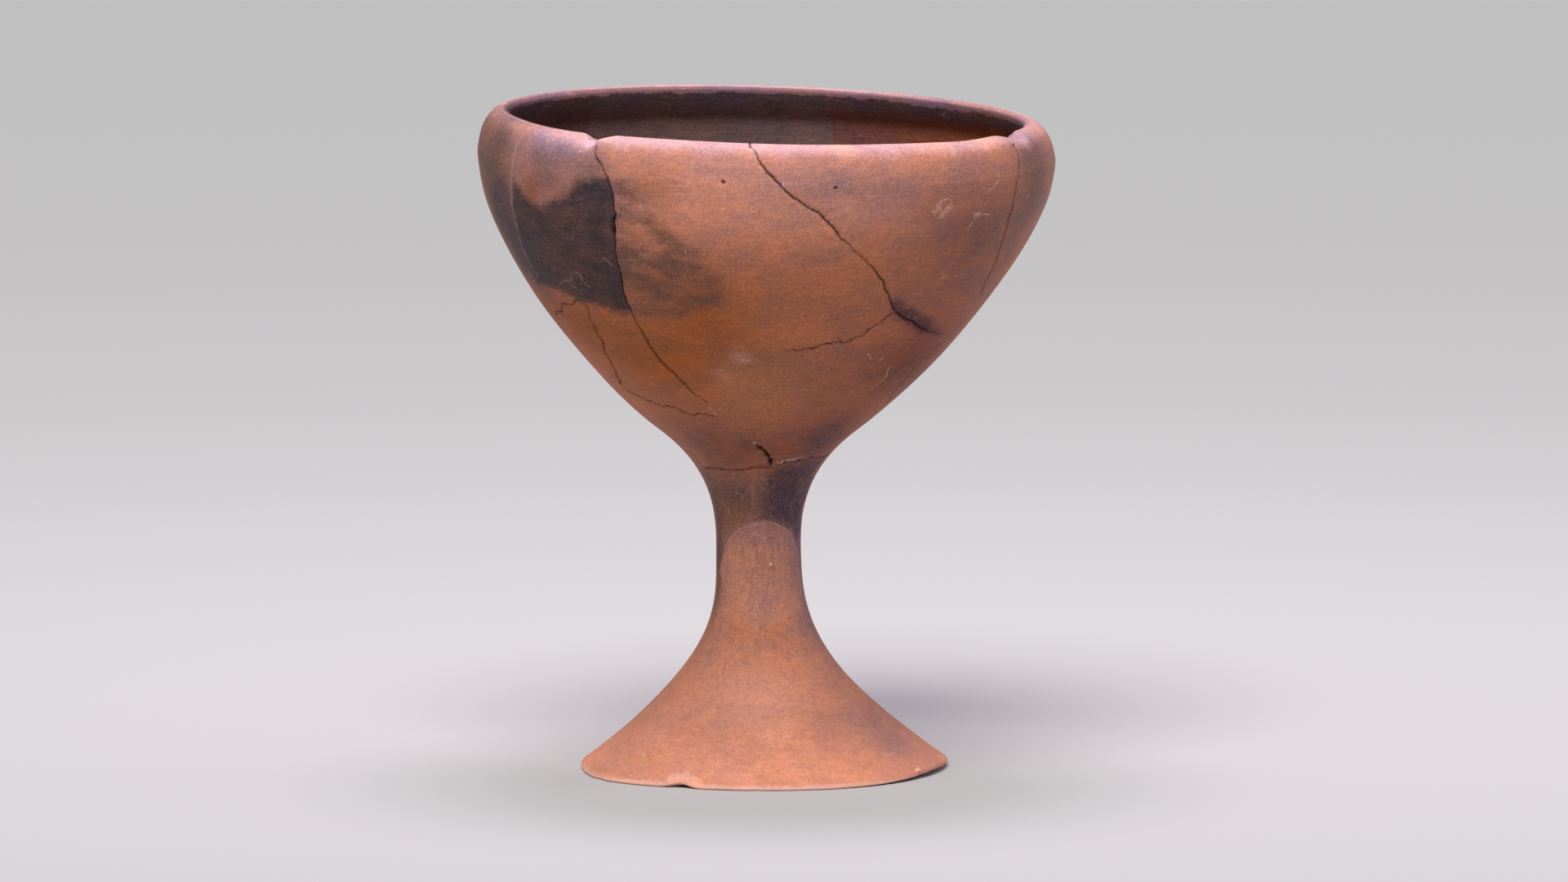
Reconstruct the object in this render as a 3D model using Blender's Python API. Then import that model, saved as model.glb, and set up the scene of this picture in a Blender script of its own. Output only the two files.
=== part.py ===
"""Pedestalled pottery cup: a deep bowl with an incurved lip on a solid stem and a hollow, flared foot.

The cup was built by hand, so it is turned here from one outline and then given the irregular form of the
real one: a centre line that wanders, a lip that slopes, and the places where clay has broken away.
Lengths are metres. The cup stands on z = 0 and azimuths are degrees from the front (-Y) towards +X.
"""
import math

import bmesh
import bpy
import numpy as np
from mathutils import Vector
from mathutils.geometry import interpolate_bezier

MM = 0.001

# Foot: a cone with hollow sides, which thins to a narrow flat ring that it stands on
FOOT_DIAMETER = 111.1 * MM
FOOT_EDGE_HEIGHT = 1.0 * MM
FOOT_SLOPE = 36.1
FOOT_WALL = 6.5 * MM
FOOT_EDGE_THICKNESS = 3.0 * MM
FOOT_EDGE_ROUNDING = 2.0 * MM
RING_WIDTH = 2.6 * MM
FOOT_THICKENS_OVER = 26 * MM
HOLLOW_HEIGHT = 44 * MM
HOLLOW_DOME_RISE = 7 * MM

# Stem: solid clay, narrowest at the waist, with the bowl's join a little above it
WAIST_DIAMETER = 25.4 * MM
WAIST_HEIGHT = 69.1 * MM
JOIN_ABOVE_WAIST = 20.4 * MM

# Bowl: a cone that rounds into a shoulder, with its clay laid on the top of the stem
ROOT_DIAMETER = 66.9 * MM
ROOT_ABOVE_JOIN = 14.9 * MM
ROOT_SLOPE = 39.7
SHOULDER_DIAMETER = 171.9 * MM
SHOULDER_ABOVE_ROOT = 77.6 * MM
BOWL_WALL = 6.0 * MM
FLOOR_THICKNESS = 8.5 * MM

# Lip: curls inwards above the shoulder to a rounded crest and a tighter inner edge
CREST_DIAMETER = 156.6 * MM
CREST_ABOVE_SHOULDER = 13.3 * MM
MOUTH_DIAMETER = 152.8 * MM
MOUTH_BELOW_CREST = 2.1 * MM

# How far each curve runs straight from its ends, as shares of the distance that it spans
FOOT_PULL, WAIST_LOWER_PULL = 0.686, 0.263
WAIST_UPPER_PULL, ROOT_LOWER_PULL = 0.533, 0.170
ROOT_UPPER_PULL, SHOULDER_LOWER_PULL = 0.333, 0.215
SHOULDER_UPPER_PULL, CREST_PULL = 0.59, 0.23
INNER_LIP_PULL, THROAT_PULL, FLOOR_PULL, DOME_PULL = 0.5, 0.45, 0.36, 0.42

# Form of the hand: how far the centre line stands to the right at five heights, and the lip's slope
FOOT_LEAN = -1.5 * MM
WAIST_LEAN = -2.3 * MM
ROOT_LEAN = -2.3 * MM
LOWER_BOWL_LEAN = -1.2 * MM
LIP_SLOPE = 0.029
LIP_SLOPES_OVER = 34 * MM
HAND_WOBBLE = 0.35 * MM
WOBBLE_STARTS_AT = 20 * MM
WOBBLE_WAVELENGTH = 120 * MM

# Clay lost from the lip where two mended cracks reach it, each with its own steep and gentle side
NOTCH_AZIMUTH, NOTCH_DEPTH, NOTCH_LEFT, NOTCH_RIGHT = -40.2, 2.4 * MM, 3.0, 5.5
CHIP_AZIMUTH, CHIP_DEPTH, CHIP_LEFT, CHIP_RIGHT = 68.6, 2.7 * MM, 8.0, 2.6
SAG_AZIMUTH, SAG_DEPTH, SAG_WIDTH = -48.0, 0.7 * MM, 18.0
DIP_AZIMUTH, DIP_DEPTH, DIP_WIDTH = 48.0, 0.4 * MM, 9.0
BREAK_ROUGHNESS_KEPT = 0.15

# Clay worn or chipped from the foot's edge, measured back along its slope
WORN_AZIMUTH, WORN_LENGTH, WORN_WIDTH = 72.0, 2.2 * MM, 27.0
FOOT_CHIP_AZIMUTH, FOOT_CHIP_LENGTH, FOOT_CHIP_WIDTH = -28.0, 1.6 * MM, 4.0
WEAR_REACHES = 9 * MM

# The foot spreads wider towards the front left
SPREAD_AZIMUTH, SPREAD, SPREAD_WIDTH = -55.0, 3.2 * MM, 19.0

# The net of faces: columns crowd round the two broken places in the lip
COLUMNS = 86
CROWDED = ((-36.0, 11.0, 2.2), (68.0, 8.0, 2.0))
ROWS = {
    "dome": 2, "underside": 7, "edge": 3, "flare": 12, "waist": 6, "bowl": 10, "lip": 6,
    "inner_lip": 3, "throat": 3, "inside": 8, "floor": 3,
}
FINE = 400

CLAY_COLOUR = (0.36, 0.14, 0.075, 1.0)
CLAY_ROUGHNESS = 0.82

JOIN_HEIGHT = WAIST_HEIGHT + JOIN_ABOVE_WAIST
ROOT_HEIGHT = JOIN_HEIGHT + ROOT_ABOVE_JOIN
SHOULDER_HEIGHT = ROOT_HEIGHT + SHOULDER_ABOVE_ROOT
CREST_HEIGHT = SHOULDER_HEIGHT + CREST_ABOVE_SHOULDER


def direction(slope):
    """Unit vector (outwards, up) at a slope in degrees above the level."""
    angle = math.radians(slope)
    return Vector((math.cos(angle), math.sin(angle)))


def curve(start, start_way, start_pull, end, end_way, end_pull, count):
    """Points of one curve that leaves start along start_way and reaches end along end_way."""
    span = (end - start).length
    leave = start + start_way * (span * start_pull)
    arrive = end - end_way * (span * end_pull)
    knots = [point.to_3d() for point in (start, leave, arrive, end)]
    return np.array(interpolate_bezier(*knots, count + 1))[:, :2]


def lengths_along(points):
    """Distance along a line of points, from its first point."""
    steps = np.linalg.norm(np.diff(points, axis=0), axis=1)
    return np.concatenate([[0.0], np.cumsum(steps)])


def even(points, count):
    """The same line with count equal steps."""
    along = lengths_along(points)
    wanted = np.linspace(0.0, along[-1], count + 1)
    return np.stack([np.interp(wanted, along, points[:, k]) for k in (0, 1)], axis=1)


def smooth_step(value):
    """Rises smoothly from 0 to 1 as value goes from 0 to 1."""
    held = np.clip(value, 0.0, 1.0)
    return held * held * (3.0 - 2.0 * held)


def set_in(points, thickness):
    """The line that lies thickness to the left of a line of points, which is into the clay's hollow side."""
    way = np.gradient(points, axis=0)
    way /= np.linalg.norm(way, axis=1)[:, None]
    left = np.stack([-way[:, 1], way[:, 0]], axis=1)
    return points + left * np.reshape(thickness, (-1, 1))


def outer_outline():
    """Curves of the outer surface, from the foot's edge up to the crest of the lip."""
    up, inwards = Vector((0, 1)), Vector((-1, 0))
    foot_way = Vector((-direction(FOOT_SLOPE).x, direction(FOOT_SLOPE).y))
    root_way = direction(ROOT_SLOPE)
    tip = Vector((FOOT_DIAMETER / 2, FOOT_EDGE_HEIGHT))
    waist = Vector((WAIST_DIAMETER / 2, WAIST_HEIGHT))
    root = Vector((ROOT_DIAMETER / 2, ROOT_HEIGHT))
    shoulder = Vector((SHOULDER_DIAMETER / 2, SHOULDER_HEIGHT))
    crest = Vector((CREST_DIAMETER / 2, CREST_HEIGHT))
    return {
        "flare": curve(tip, foot_way, FOOT_PULL, waist, up, WAIST_LOWER_PULL, FINE),
        "waist": curve(waist, up, WAIST_UPPER_PULL, root, root_way, ROOT_LOWER_PULL, FINE),
        "bowl": curve(root, root_way, ROOT_UPPER_PULL, shoulder, up, SHOULDER_LOWER_PULL, FINE),
        "lip": curve(shoulder, up, SHOULDER_UPPER_PULL, crest, inwards, CREST_PULL, FINE),
    }


def foot_lines(flare):
    """Lines of the foot: the hollow's dome and underside, the standing ring and its rounded edge."""
    along = lengths_along(flare)
    flare = flare[along >= FOOT_EDGE_ROUNDING]
    start, way = Vector(flare[0]), Vector(flare[1] - flare[0]).normalized()
    ring_outside = Vector((start.x, 0.0))
    edge_pull = FOOT_EDGE_ROUNDING / (start - ring_outside).length
    edge = curve(ring_outside, Vector((1, 0)), edge_pull, start, way, edge_pull, FINE)
    ring_inside = ring_outside - Vector((RING_WIDTH, 0.0))

    along = lengths_along(flare)
    thickness = FOOT_WALL - (FOOT_WALL - FOOT_EDGE_THICKNESS) * (1 - smooth_step(along / FOOT_THICKENS_OVER))
    under = set_in(flare, thickness)
    above_ring = under[:, 1] > FOOT_EDGE_HEIGHT
    below_dome = under[:, 1] < HOLLOW_HEIGHT - HOLLOW_DOME_RISE
    under = under[above_ring & below_dome & (under[:, 0] < ring_inside.x)]
    under = np.concatenate([[ring_inside], under])
    dome_way = Vector(under[-1] - under[-2]).normalized()
    top = Vector((0.0, HOLLOW_HEIGHT))
    dome = curve(Vector(under[-1]), dome_way, DOME_PULL, top, Vector((-1, 0)), DOME_PULL, FINE)
    return {"dome": dome[::-1], "underside": under[::-1], "edge": edge, "flare": flare}


def inner_lines(bowl):
    """Lines inside the bowl: the lip's inner edge, the throat below it, the wall and the floor."""
    wall = set_in(bowl, np.full(len(bowl), BOWL_WALL))[::-1]
    down, inwards = Vector((0, -1)), Vector((-1, 0))
    crest = Vector((CREST_DIAMETER / 2, CREST_HEIGHT))
    mouth = Vector((MOUTH_DIAMETER / 2, CREST_HEIGHT - MOUTH_BELOW_CREST))
    belly, wall_foot = Vector(wall[0]), Vector(wall[-1])
    floor_way = Vector(wall[-1] - wall[-2]).normalized()
    floor = Vector((0.0, JOIN_HEIGHT + FLOOR_THICKNESS))
    return {
        "inner_lip": curve(crest, inwards, INNER_LIP_PULL, mouth, down, INNER_LIP_PULL, FINE),
        "throat": curve(mouth, down, THROAT_PULL, belly, down, THROAT_PULL, FINE),
        "inside": wall,
        "floor": curve(wall_foot, floor_way, FLOOR_PULL, floor, inwards, FLOOR_PULL, FINE),
    }


def whole_outline():
    """Rows of the net as (radius, height), from the top of the foot's hollow to the bowl's floor."""
    outer = outer_outline()
    lines = {**outer, **foot_lines(outer["flare"]), **inner_lines(outer["bowl"])}
    rows = [lines["dome"][:1]]
    for name, count in ROWS.items():
        line = even(lines[name], round(count))
        rows.append(line if name == "edge" else line[1:])
    return np.concatenate(rows)


def column_azimuths():
    """Azimuths of the columns in radians, closer together round the broken places."""
    fine = np.linspace(-180.0, 180.0, 3601)
    density = np.ones_like(fine)
    for azimuth, width, extra in CROWDED:
        density += extra * np.exp(-((fine - azimuth) / width) ** 2)
    share = np.concatenate([[0.0], np.cumsum((density[1:] + density[:-1]) / 2)])
    share /= share[-1]
    return np.radians(np.interp(np.arange(COLUMNS) / COLUMNS, share, fine))


def centre_line(height):
    """How far the cup's centre stands to the right at each height."""
    knots = (
        (FOOT_EDGE_HEIGHT, 0.0),
        (WAIST_HEIGHT * 0.46, FOOT_LEAN),
        (WAIST_HEIGHT, WAIST_LEAN),
        (ROOT_HEIGHT, ROOT_LEAN),
        (ROOT_HEIGHT + SHOULDER_ABOVE_ROOT / 3, LOWER_BOWL_LEAN),
        (ROOT_HEIGHT + SHOULDER_ABOVE_ROOT * 0.8, 0.0),
    )
    offset = np.zeros_like(height)
    for (low, before), (high, after) in zip(knots, knots[1:]):
        offset = offset + (after - before) * smooth_step((height - low) / (high - low))
    return offset


def wobble(radius, height, azimuth):
    """The slow unevenness that hands leave in a wall, as a change of radius."""
    turn = 2 * math.pi * height / WOBBLE_WAVELENGTH
    oval = 0.6 * np.sin(2 * azimuth) * np.cos(turn + 0.5)
    lobes = 0.4 * np.cos(3 * azimuth) * np.sin(1.7 * turn)
    return HAND_WOBBLE * (oval + lobes) * smooth_step(radius / WOBBLE_STARTS_AT)


def hollow_between(degrees, centre, left, right):
    """1 at centre, falling to 0 at left degrees before it and right degrees after it."""
    gap = degrees - centre
    return np.clip(1.0 - np.where(gap < 0, -gap / left, gap / right), 0.0, 1.0)


def bell(degrees, centre, width):
    """A smooth hump, 1 at centre."""
    return np.exp(-((degrees - centre) / width) ** 2)


def lip_loss(azimuth):
    """How far the lip's top is below a whole one."""
    degrees = np.degrees(azimuth)
    notch = NOTCH_DEPTH * hollow_between(degrees, NOTCH_AZIMUTH, NOTCH_LEFT, NOTCH_RIGHT)
    chip = CHIP_DEPTH * hollow_between(degrees, CHIP_AZIMUTH, CHIP_LEFT, CHIP_RIGHT)
    sag = SAG_DEPTH * bell(degrees, SAG_AZIMUTH, SAG_WIDTH)
    dip = DIP_DEPTH * bell(degrees, DIP_AZIMUTH, DIP_WIDTH)
    return np.maximum(notch, chip), sag + dip


def foot_loss(azimuth):
    """How far the foot's edge is set back along its slope."""
    degrees = np.degrees(azimuth)
    worn = WORN_LENGTH * bell(degrees, WORN_AZIMUTH, WORN_WIDTH)
    chip = FOOT_CHIP_LENGTH * bell(degrees, FOOT_CHIP_AZIMUTH, FOOT_CHIP_WIDTH)
    cut_off = (bell(degrees, WORN_AZIMUTH, WORN_WIDTH) > 0.05) | (chip > 0.1 * MM)
    return np.where(cut_off, worn + chip, 0.0)


def place(radius, height, azimuth):
    """World position of one point of the turned outline on the real, uneven cup."""
    broken, lowered = lip_loss(azimuth)
    top = CREST_HEIGHT
    near_lip = smooth_step((height - (top - LIP_SLOPES_OVER)) / LIP_SLOPES_OVER)
    cut = top - broken
    above = np.maximum(height - cut, 0.0)
    z = height - above * (1.0 - BREAK_ROUGHNESS_KEPT) - lowered * near_lip

    set_back = foot_loss(azimuth) * (1.0 - smooth_step(height / WEAR_REACHES))
    on_foot = np.where(height < WAIST_HEIGHT, smooth_step(radius / (FOOT_DIAMETER / 4) - 1.0), 0.0)
    way = direction(FOOT_SLOPE)
    spread = SPREAD * bell(np.degrees(azimuth), SPREAD_AZIMUTH, SPREAD_WIDTH) * on_foot
    r = radius + wobble(radius, height, azimuth) + spread - set_back * on_foot * way.x
    z = z + set_back * on_foot * way.y

    across = r * np.sin(azimuth)
    z = z - LIP_SLOPE * across * near_lip
    return across + centre_line(height), -r * np.cos(azimuth), z


def build_cup():
    """The cup as one closed mesh: a net of rows and columns with a point at each end of the axis."""
    rows = whole_outline()
    azimuths = column_azimuths()
    start, end = rows[0], rows[-1]
    rings = rows[1:-1]
    radius, azimuth = np.meshgrid(rings[:, 0], azimuths, indexing="ij")
    height = np.repeat(rings[:, 1][:, None], COLUMNS, axis=1)
    points = np.stack(place(radius, height, azimuth), axis=-1)

    net = bmesh.new()
    grid = [[net.verts.new(point) for point in ring] for ring in points]
    for lower, upper in zip(grid, grid[1:]):
        for k in range(COLUMNS):
            after = (k + 1) % COLUMNS
            net.faces.new((lower[k], lower[after], upper[after], upper[k]))
    for ring, pole, turned in ((grid[0], start, True), (grid[-1], end, False)):
        offset = float(centre_line(np.array([pole[1]]))[0])
        tip = net.verts.new((offset, 0.0, pole[1]))
        for k in range(COLUMNS):
            after = (k + 1) % COLUMNS
            net.faces.new((ring[after], ring[k], tip) if turned else (ring[k], ring[after], tip))
    mesh = bpy.data.meshes.new("pedestal_cup")
    net.to_mesh(mesh)
    net.free()
    mesh.shade_smooth()
    mesh.set_sharp_from_angle(angle=math.radians(50))
    return mesh


def clay():
    """Unglazed, low-fired red clay."""
    material = bpy.data.materials.new("fired_clay")
    material.use_nodes = True
    surface = material.node_tree.nodes["Principled BSDF"]
    surface.inputs["Base Color"].default_value = CLAY_COLOUR
    surface.inputs["Roughness"].default_value = CLAY_ROUGHNESS
    surface.inputs["Metallic"].default_value = 0.0
    return material


def main():
    """Clears the scene and builds the cup."""
    for thing in list(bpy.data.objects):
        bpy.data.objects.remove(thing, do_unlink=True)
    mesh = build_cup()
    mesh.materials.append(clay())
    cup = bpy.data.objects.new("pedestal_cup", mesh)
    bpy.context.scene.collection.objects.link(cup)


main()
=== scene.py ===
"""Pottery cup: a pedestalled drinking cup in mended red clay, standing on a plain pale floor.

The CAD cup is copied and made finer. Cracks, stains and scratches that were read off the photograph are
cast from its camera onto the clay, so each one sits on the surface from any side. Lengths are metres unless
a name ends in _mm, azimuths are degrees from the front (-Y) towards +X, and photo positions are pixels of
1920 x 1080.
"""

import logging
import math
from dataclasses import asdict, dataclass
from enum import Enum
from functools import cached_property

import bmesh
import bpy
import numpy as np
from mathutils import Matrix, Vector
from mathutils.bvhtree import BVHTree

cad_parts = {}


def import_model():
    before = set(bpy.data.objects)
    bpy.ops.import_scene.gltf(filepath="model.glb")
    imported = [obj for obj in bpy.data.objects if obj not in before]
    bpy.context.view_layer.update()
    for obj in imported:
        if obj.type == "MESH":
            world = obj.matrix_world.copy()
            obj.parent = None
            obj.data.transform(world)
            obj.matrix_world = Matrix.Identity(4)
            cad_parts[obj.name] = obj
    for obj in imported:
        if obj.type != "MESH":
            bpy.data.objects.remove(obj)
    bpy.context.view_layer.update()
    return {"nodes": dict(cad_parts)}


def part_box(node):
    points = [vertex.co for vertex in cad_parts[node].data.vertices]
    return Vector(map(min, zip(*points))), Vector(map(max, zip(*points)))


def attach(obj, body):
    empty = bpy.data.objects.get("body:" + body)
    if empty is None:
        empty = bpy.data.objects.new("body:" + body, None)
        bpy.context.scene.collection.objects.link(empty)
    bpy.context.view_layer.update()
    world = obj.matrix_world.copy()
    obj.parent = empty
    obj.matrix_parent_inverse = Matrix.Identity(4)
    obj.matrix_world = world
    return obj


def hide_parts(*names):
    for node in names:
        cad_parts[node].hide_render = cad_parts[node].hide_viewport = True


LOG = logging.getLogger("pottery_cup")
MM = 0.001

Pair = tuple[float, float]
Pairs = tuple[Pair, ...]
Triple = tuple[float, float, float]
Colour = Triple
Socket = bpy.types.NodeSocket
Mesh = bpy.types.Mesh
Material = bpy.types.Material
Thing = bpy.types.Object


def smooth(value: np.ndarray, low: float, high: float) -> np.ndarray:
    """Rise smoothly from 0 to 1 as a value goes from low to high, of which either may be the greater."""
    held = np.clip((value - low) / (high - low), 0.0, 1.0)
    return held * held * (3.0 - 2.0 * held)


def wrapped(angle: np.ndarray) -> np.ndarray:
    """Bring angles in radians to within half a turn of 0."""
    return (angle + math.pi) % math.tau - math.pi


def clay_colour(*screen: int) -> Colour:
    """Turn a colour given as screen bytes into linear light.

    Args:
        *screen: Red, green and blue.

    Returns:
        The linear colour.
    """
    share = np.array(screen) / 255.0
    linear = np.where(share <= 0.04045, share / 12.92, ((share + 0.055) / 1.055) ** 2.4)
    return tuple(float(part) for part in linear)


class Tone(Enum):
    """The few tones that the clay takes, from dark to pale, which all the soft spots share."""

    UMBER = clay_colour(72, 50, 44)
    SLATE = clay_colour(84, 65, 66)
    PLUM = clay_colour(95, 62, 58)
    SMOKE = clay_colour(96, 72, 66)
    OXBLOOD = clay_colour(105, 52, 38)
    BROWN = clay_colour(112, 76, 62)
    RUST = clay_colour(130, 68, 34)
    BRICK = clay_colour(130, 82, 66)
    MAUVE = clay_colour(138, 100, 96)
    AMBER = clay_colour(150, 80, 34)
    CLAY = clay_colour(150, 94, 72)
    LILAC = clay_colour(148, 120, 134)
    TERRACOTTA = clay_colour(166, 102, 74)
    ROSE = clay_colour(178, 120, 104)
    SALMON = clay_colour(190, 124, 94)
    PALE = clay_colour(204, 138, 112)


@dataclass(frozen=True)
class PhotoCamera:
    """The camera of the photograph, which also carries marks read off it onto the clay."""

    lens_mm: float = 600.0
    sensor_mm: float = 36.0
    width: float = 1920.0
    height: float = 1080.0
    distance: float = 7.7728
    elevation: float = 7.08
    aim: Triple = (0.0053, 0.0, 0.09757)

    @property
    def forward(self) -> Vector:
        """Unit vector along the line of sight."""
        tilt = math.radians(self.elevation)
        return Vector((0.0, math.cos(tilt), -math.sin(tilt)))

    @property
    def upward(self) -> Vector:
        """Unit vector up the picture."""
        tilt = math.radians(self.elevation)
        return Vector((0.0, math.sin(tilt), math.cos(tilt)))

    @property
    def place(self) -> Vector:
        """Where the camera stands."""
        return Vector(self.aim) - self.forward * self.distance

    def create(self) -> None:
        """Add the camera to the scene and look through it."""
        data = bpy.data.cameras.new("photo_camera")
        data.lens = self.lens_mm
        data.sensor_width = self.sensor_mm
        data.clip_end = self.distance * 5
        camera = linked("photo_camera", data)
        camera.location = self.place
        camera.rotation_euler = (math.radians(90.0 - self.elevation), 0.0, 0.0)
        bpy.context.scene.camera = camera

    def ray(self, pixel: Pair) -> Vector:
        """Find which way a pixel of the photograph looks.

        Args:
            pixel: Position in the photograph.

        Returns:
            The unit vector from the camera.
        """
        focal = self.lens_mm / self.sensor_mm * self.width
        right = (pixel[0] - self.width / 2) / focal
        up = (self.height / 2 - pixel[1]) / focal
        return (self.forward + Vector((right, 0.0, 0.0)) + self.upward * up).normalized()


class Side(Enum):
    """Which skin of the clay a mark lies on."""

    OUTER = "outer"
    INNER = "inner"


@dataclass(frozen=True)
class Swell:
    """A place of the photograph where a crack gapes."""

    centre: Pair
    reach_mm: float
    factor: float


@dataclass(frozen=True)
class Crack:
    """One mended crack, through points of the photograph or, as turns, through azimuths and heights in mm."""

    name: str
    half_width_mm: float
    depth_mm: float
    photo: Pairs = ()
    turns: Pairs = ()
    crosses_lip: bool = False
    jag: float = 0.15
    swells: tuple[Swell, ...] = ()


@dataclass(frozen=True)
class Stain:
    """A patch of other colour, whose outline is given as a crack's course is."""

    name: str
    photo: Pairs = ()
    turns: Pairs = ()
    side: Side = Side.OUTER


@dataclass(frozen=True)
class Tint:
    """A soft spot of another tone, with its half size in mm. Off the photo its centre is a turn."""

    centre: Pair
    reach: Pair
    tone: Tone
    strength: float = 1.0
    slant: float = 0.0
    on_photo: bool = True
    side: Side = Side.OUTER


@dataclass(frozen=True)
class Scratch:
    """A fine pale or dark mark through points of the photograph."""

    photo: Pairs
    size_mm: float = 0.2
    strength: float = 0.6
    dark: bool = False


@dataclass(frozen=True)
class Dent:
    """A small chip at a place of the photograph, or a corner that stands up where its depth is below 0."""

    centre: Pair
    reach_mm: float
    depth_mm: float


CRACKS = (
    Crack(
        "notch", 0.17, 1,
        photo=((728, 178), (727, 186), (728, 192), (734, 199), (738, 207), (743, 217), (746, 229), (750, 243),
               (753, 262), (751, 268), (750, 284), (753, 294), (754, 311), (761, 344), (773, 382), (782, 401),
               (801, 432), (825, 457), (848, 481), (867, 493)),
        crosses_lip=True, jag=0.08, swells=(Swell((750, 287), 2.6, 2.4), Swell((728, 180), 1.6, 2.2)),
    ),
    Crack(
        "middle", 0.13, 0.8,
        photo=((918, 177), (929, 196), (948, 219), (969, 240), (995, 257), (1018, 276), (1042, 302),
               (1066, 325), (1082, 344), (1089, 363), (1096, 380), (1117, 394), (1136, 406), (1153, 409)),
        crosses_lip=True, jag=0.07,
    ),
    Crack(
        "middle_branch", 0.11, 0.5,
        photo=((1098, 381), (1080, 394), (1063, 405), (1044, 416), (1016, 422), (983, 428), (961, 430)),
    ),
    Crack(
        "right", 0.15, 0.6,
        photo=((1242, 177), (1248, 193), (1245, 226), (1235, 269), (1224, 306), (1210, 340), (1199, 365)),
        crosses_lip=True, jag=0.05,
    ),
    Crack("right_faint", 0.08, 0.22, photo=((1129, 442), (1113, 458), (1105, 469), (1097, 478), (1085, 494))),
    Crack(
        "back", 0.13, 0.6,
        turns=((158, 192), (161, 184), (157, 172), (163, 158), (160, 146), (168, 132),
               (176, 120), (173, 110)),
        jag=0.1,
    ),
    Crack("back_branch", 0.1, 0.4, turns=((163, 158), (178, 152), (192, 150), (206, 143)), jag=0.1),
    Crack(
        "left", 0.14, 0.65,
        photo=((715, 371), (727, 399), (737, 418), (744, 437), (755, 459), (758, 469), (771, 479), (788, 488),
               (812, 498), (827, 500), (850, 509), (862, 507), (877, 509)),
    ),
    Crack("left_branch", 0.1, 0.45, photo=((681, 387), (687, 377), (699, 374), (712, 370))),
    Crack("join_gap", 0.38, 1.1, photo=((925, 545), (932, 551), (941, 560), (946, 571)), jag=0.16),
    Crack("join_left", 0.11, 0.5, photo=((862, 573), (879, 574), (905, 576), (921, 573), (946, 572)),
          jag=0.05),
    Crack("join_right", 0.1, 0.4, photo=((946, 572), (964, 566), (990, 561), (1014, 557)), jag=0.06),
)
STAINS = (
    Stain(
        "fire_cloud",
        photo=((760, 214), (706, 222), (688, 240), (668, 250), (652, 250), (632, 226), (627, 226), (631, 269),
               (645, 316), (657, 347), (683, 354), (707, 368), (730, 373), (763, 384), (785, 374), (782, 340),
               (772, 311), (770, 273)),
    ),
    Stain(
        "grey_cloud",
        photo=((735, 222), (775, 224), (800, 262), (830, 290), (858, 310), (884, 345), (881, 374), (836, 384),
               (780, 380), (740, 340)),
    ),
    Stain(
        "smudge",
        photo=((1096, 368), (1112, 378), (1132, 386), (1145, 402), (1152, 410), (1128, 408), (1106, 396),
               (1094, 384)),
    ),
    # painted light: the lit part of the stem below the edge of the shadow that the bowl casts on it
    Stain(
        "stem_pale",
        photo=((880, 700), (889, 668), (893, 660), (905, 648), (920, 641), (935, 638), (950, 640), (968, 650),
               (976, 672), (980, 700), (984, 740), (925, 770), (872, 740)),
    ),
    Stain(
        "foot_scar",
        photo=((816, 957), (820, 949), (828, 945), (846, 945), (853, 950), (859, 957), (862, 963), (836, 959),
               (820, 960)),
    ),
    Stain(
        "plaster",
        photo=((945, 571), (952, 565), (966, 562), (984, 558), (987, 561), (966, 566), (952, 570)),
    ),
    Stain(
        "left_dark",
        photo=((600, 240), (612, 222), (625, 228), (629, 265), (643, 314), (655, 346), (646, 350), (628, 318),
               (607, 268)),
    ),
    Stain(
        "stem_dark",
        photo=((947, 575), (962, 570), (990, 565), (1009, 561), (998, 582), (989, 605), (983, 632),
               (978, 654), (966, 650), (950, 640), (940, 636), (934, 612), (938, 590)),
    ),
    Stain(
        "sand",
        photo=((888, 438), (910, 448), (968, 446), (978, 470), (966, 520), (930, 545), (896, 520),
               (874, 470)),
    ),
    Stain(
        "soot",
        turns=((-138, 194), (-138, 170), (-146, 140), (-170, 128), (160, 140),
               (166, 168), (166, 194)),
        side=Side.INNER,
    ),
)
# Turns that close the outline of the left sherd, which the notch bounds on its other side
LEFT_SHERD_CORNERS = ((-30, 90), (-100, 90), (-100, 205), (-40.2, 205))
# How strongly the lip's rubbed pale top and the painted highlight along it show, by azimuth
LIP_WEAR_AND_HIGHLIGHT = (
    (-180, 0.9), (-150, 0.8), (-120, 0.45), (-80, 0.12), (-60, 0.2), (-48, 0.5), (-38, 0.9),
    (58, 0.7), (80, 0.45), (130, 0.45), (160, 0.8),
)
DENTS = (
    Dent((728, 177), 1.1, 0.4),
    Dent((737, 174), 2.6, -0.65),
    Dent((696, 113), 1.4, 0.9),
    Dent((643, 119), 1.3, 0.7),
    Dent((1150, 126), 1.3, 0.6),
    Dent((1241, 176), 1.6, 0.5),
    Dent((925, 180), 1.4, 0.35),
)
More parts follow.
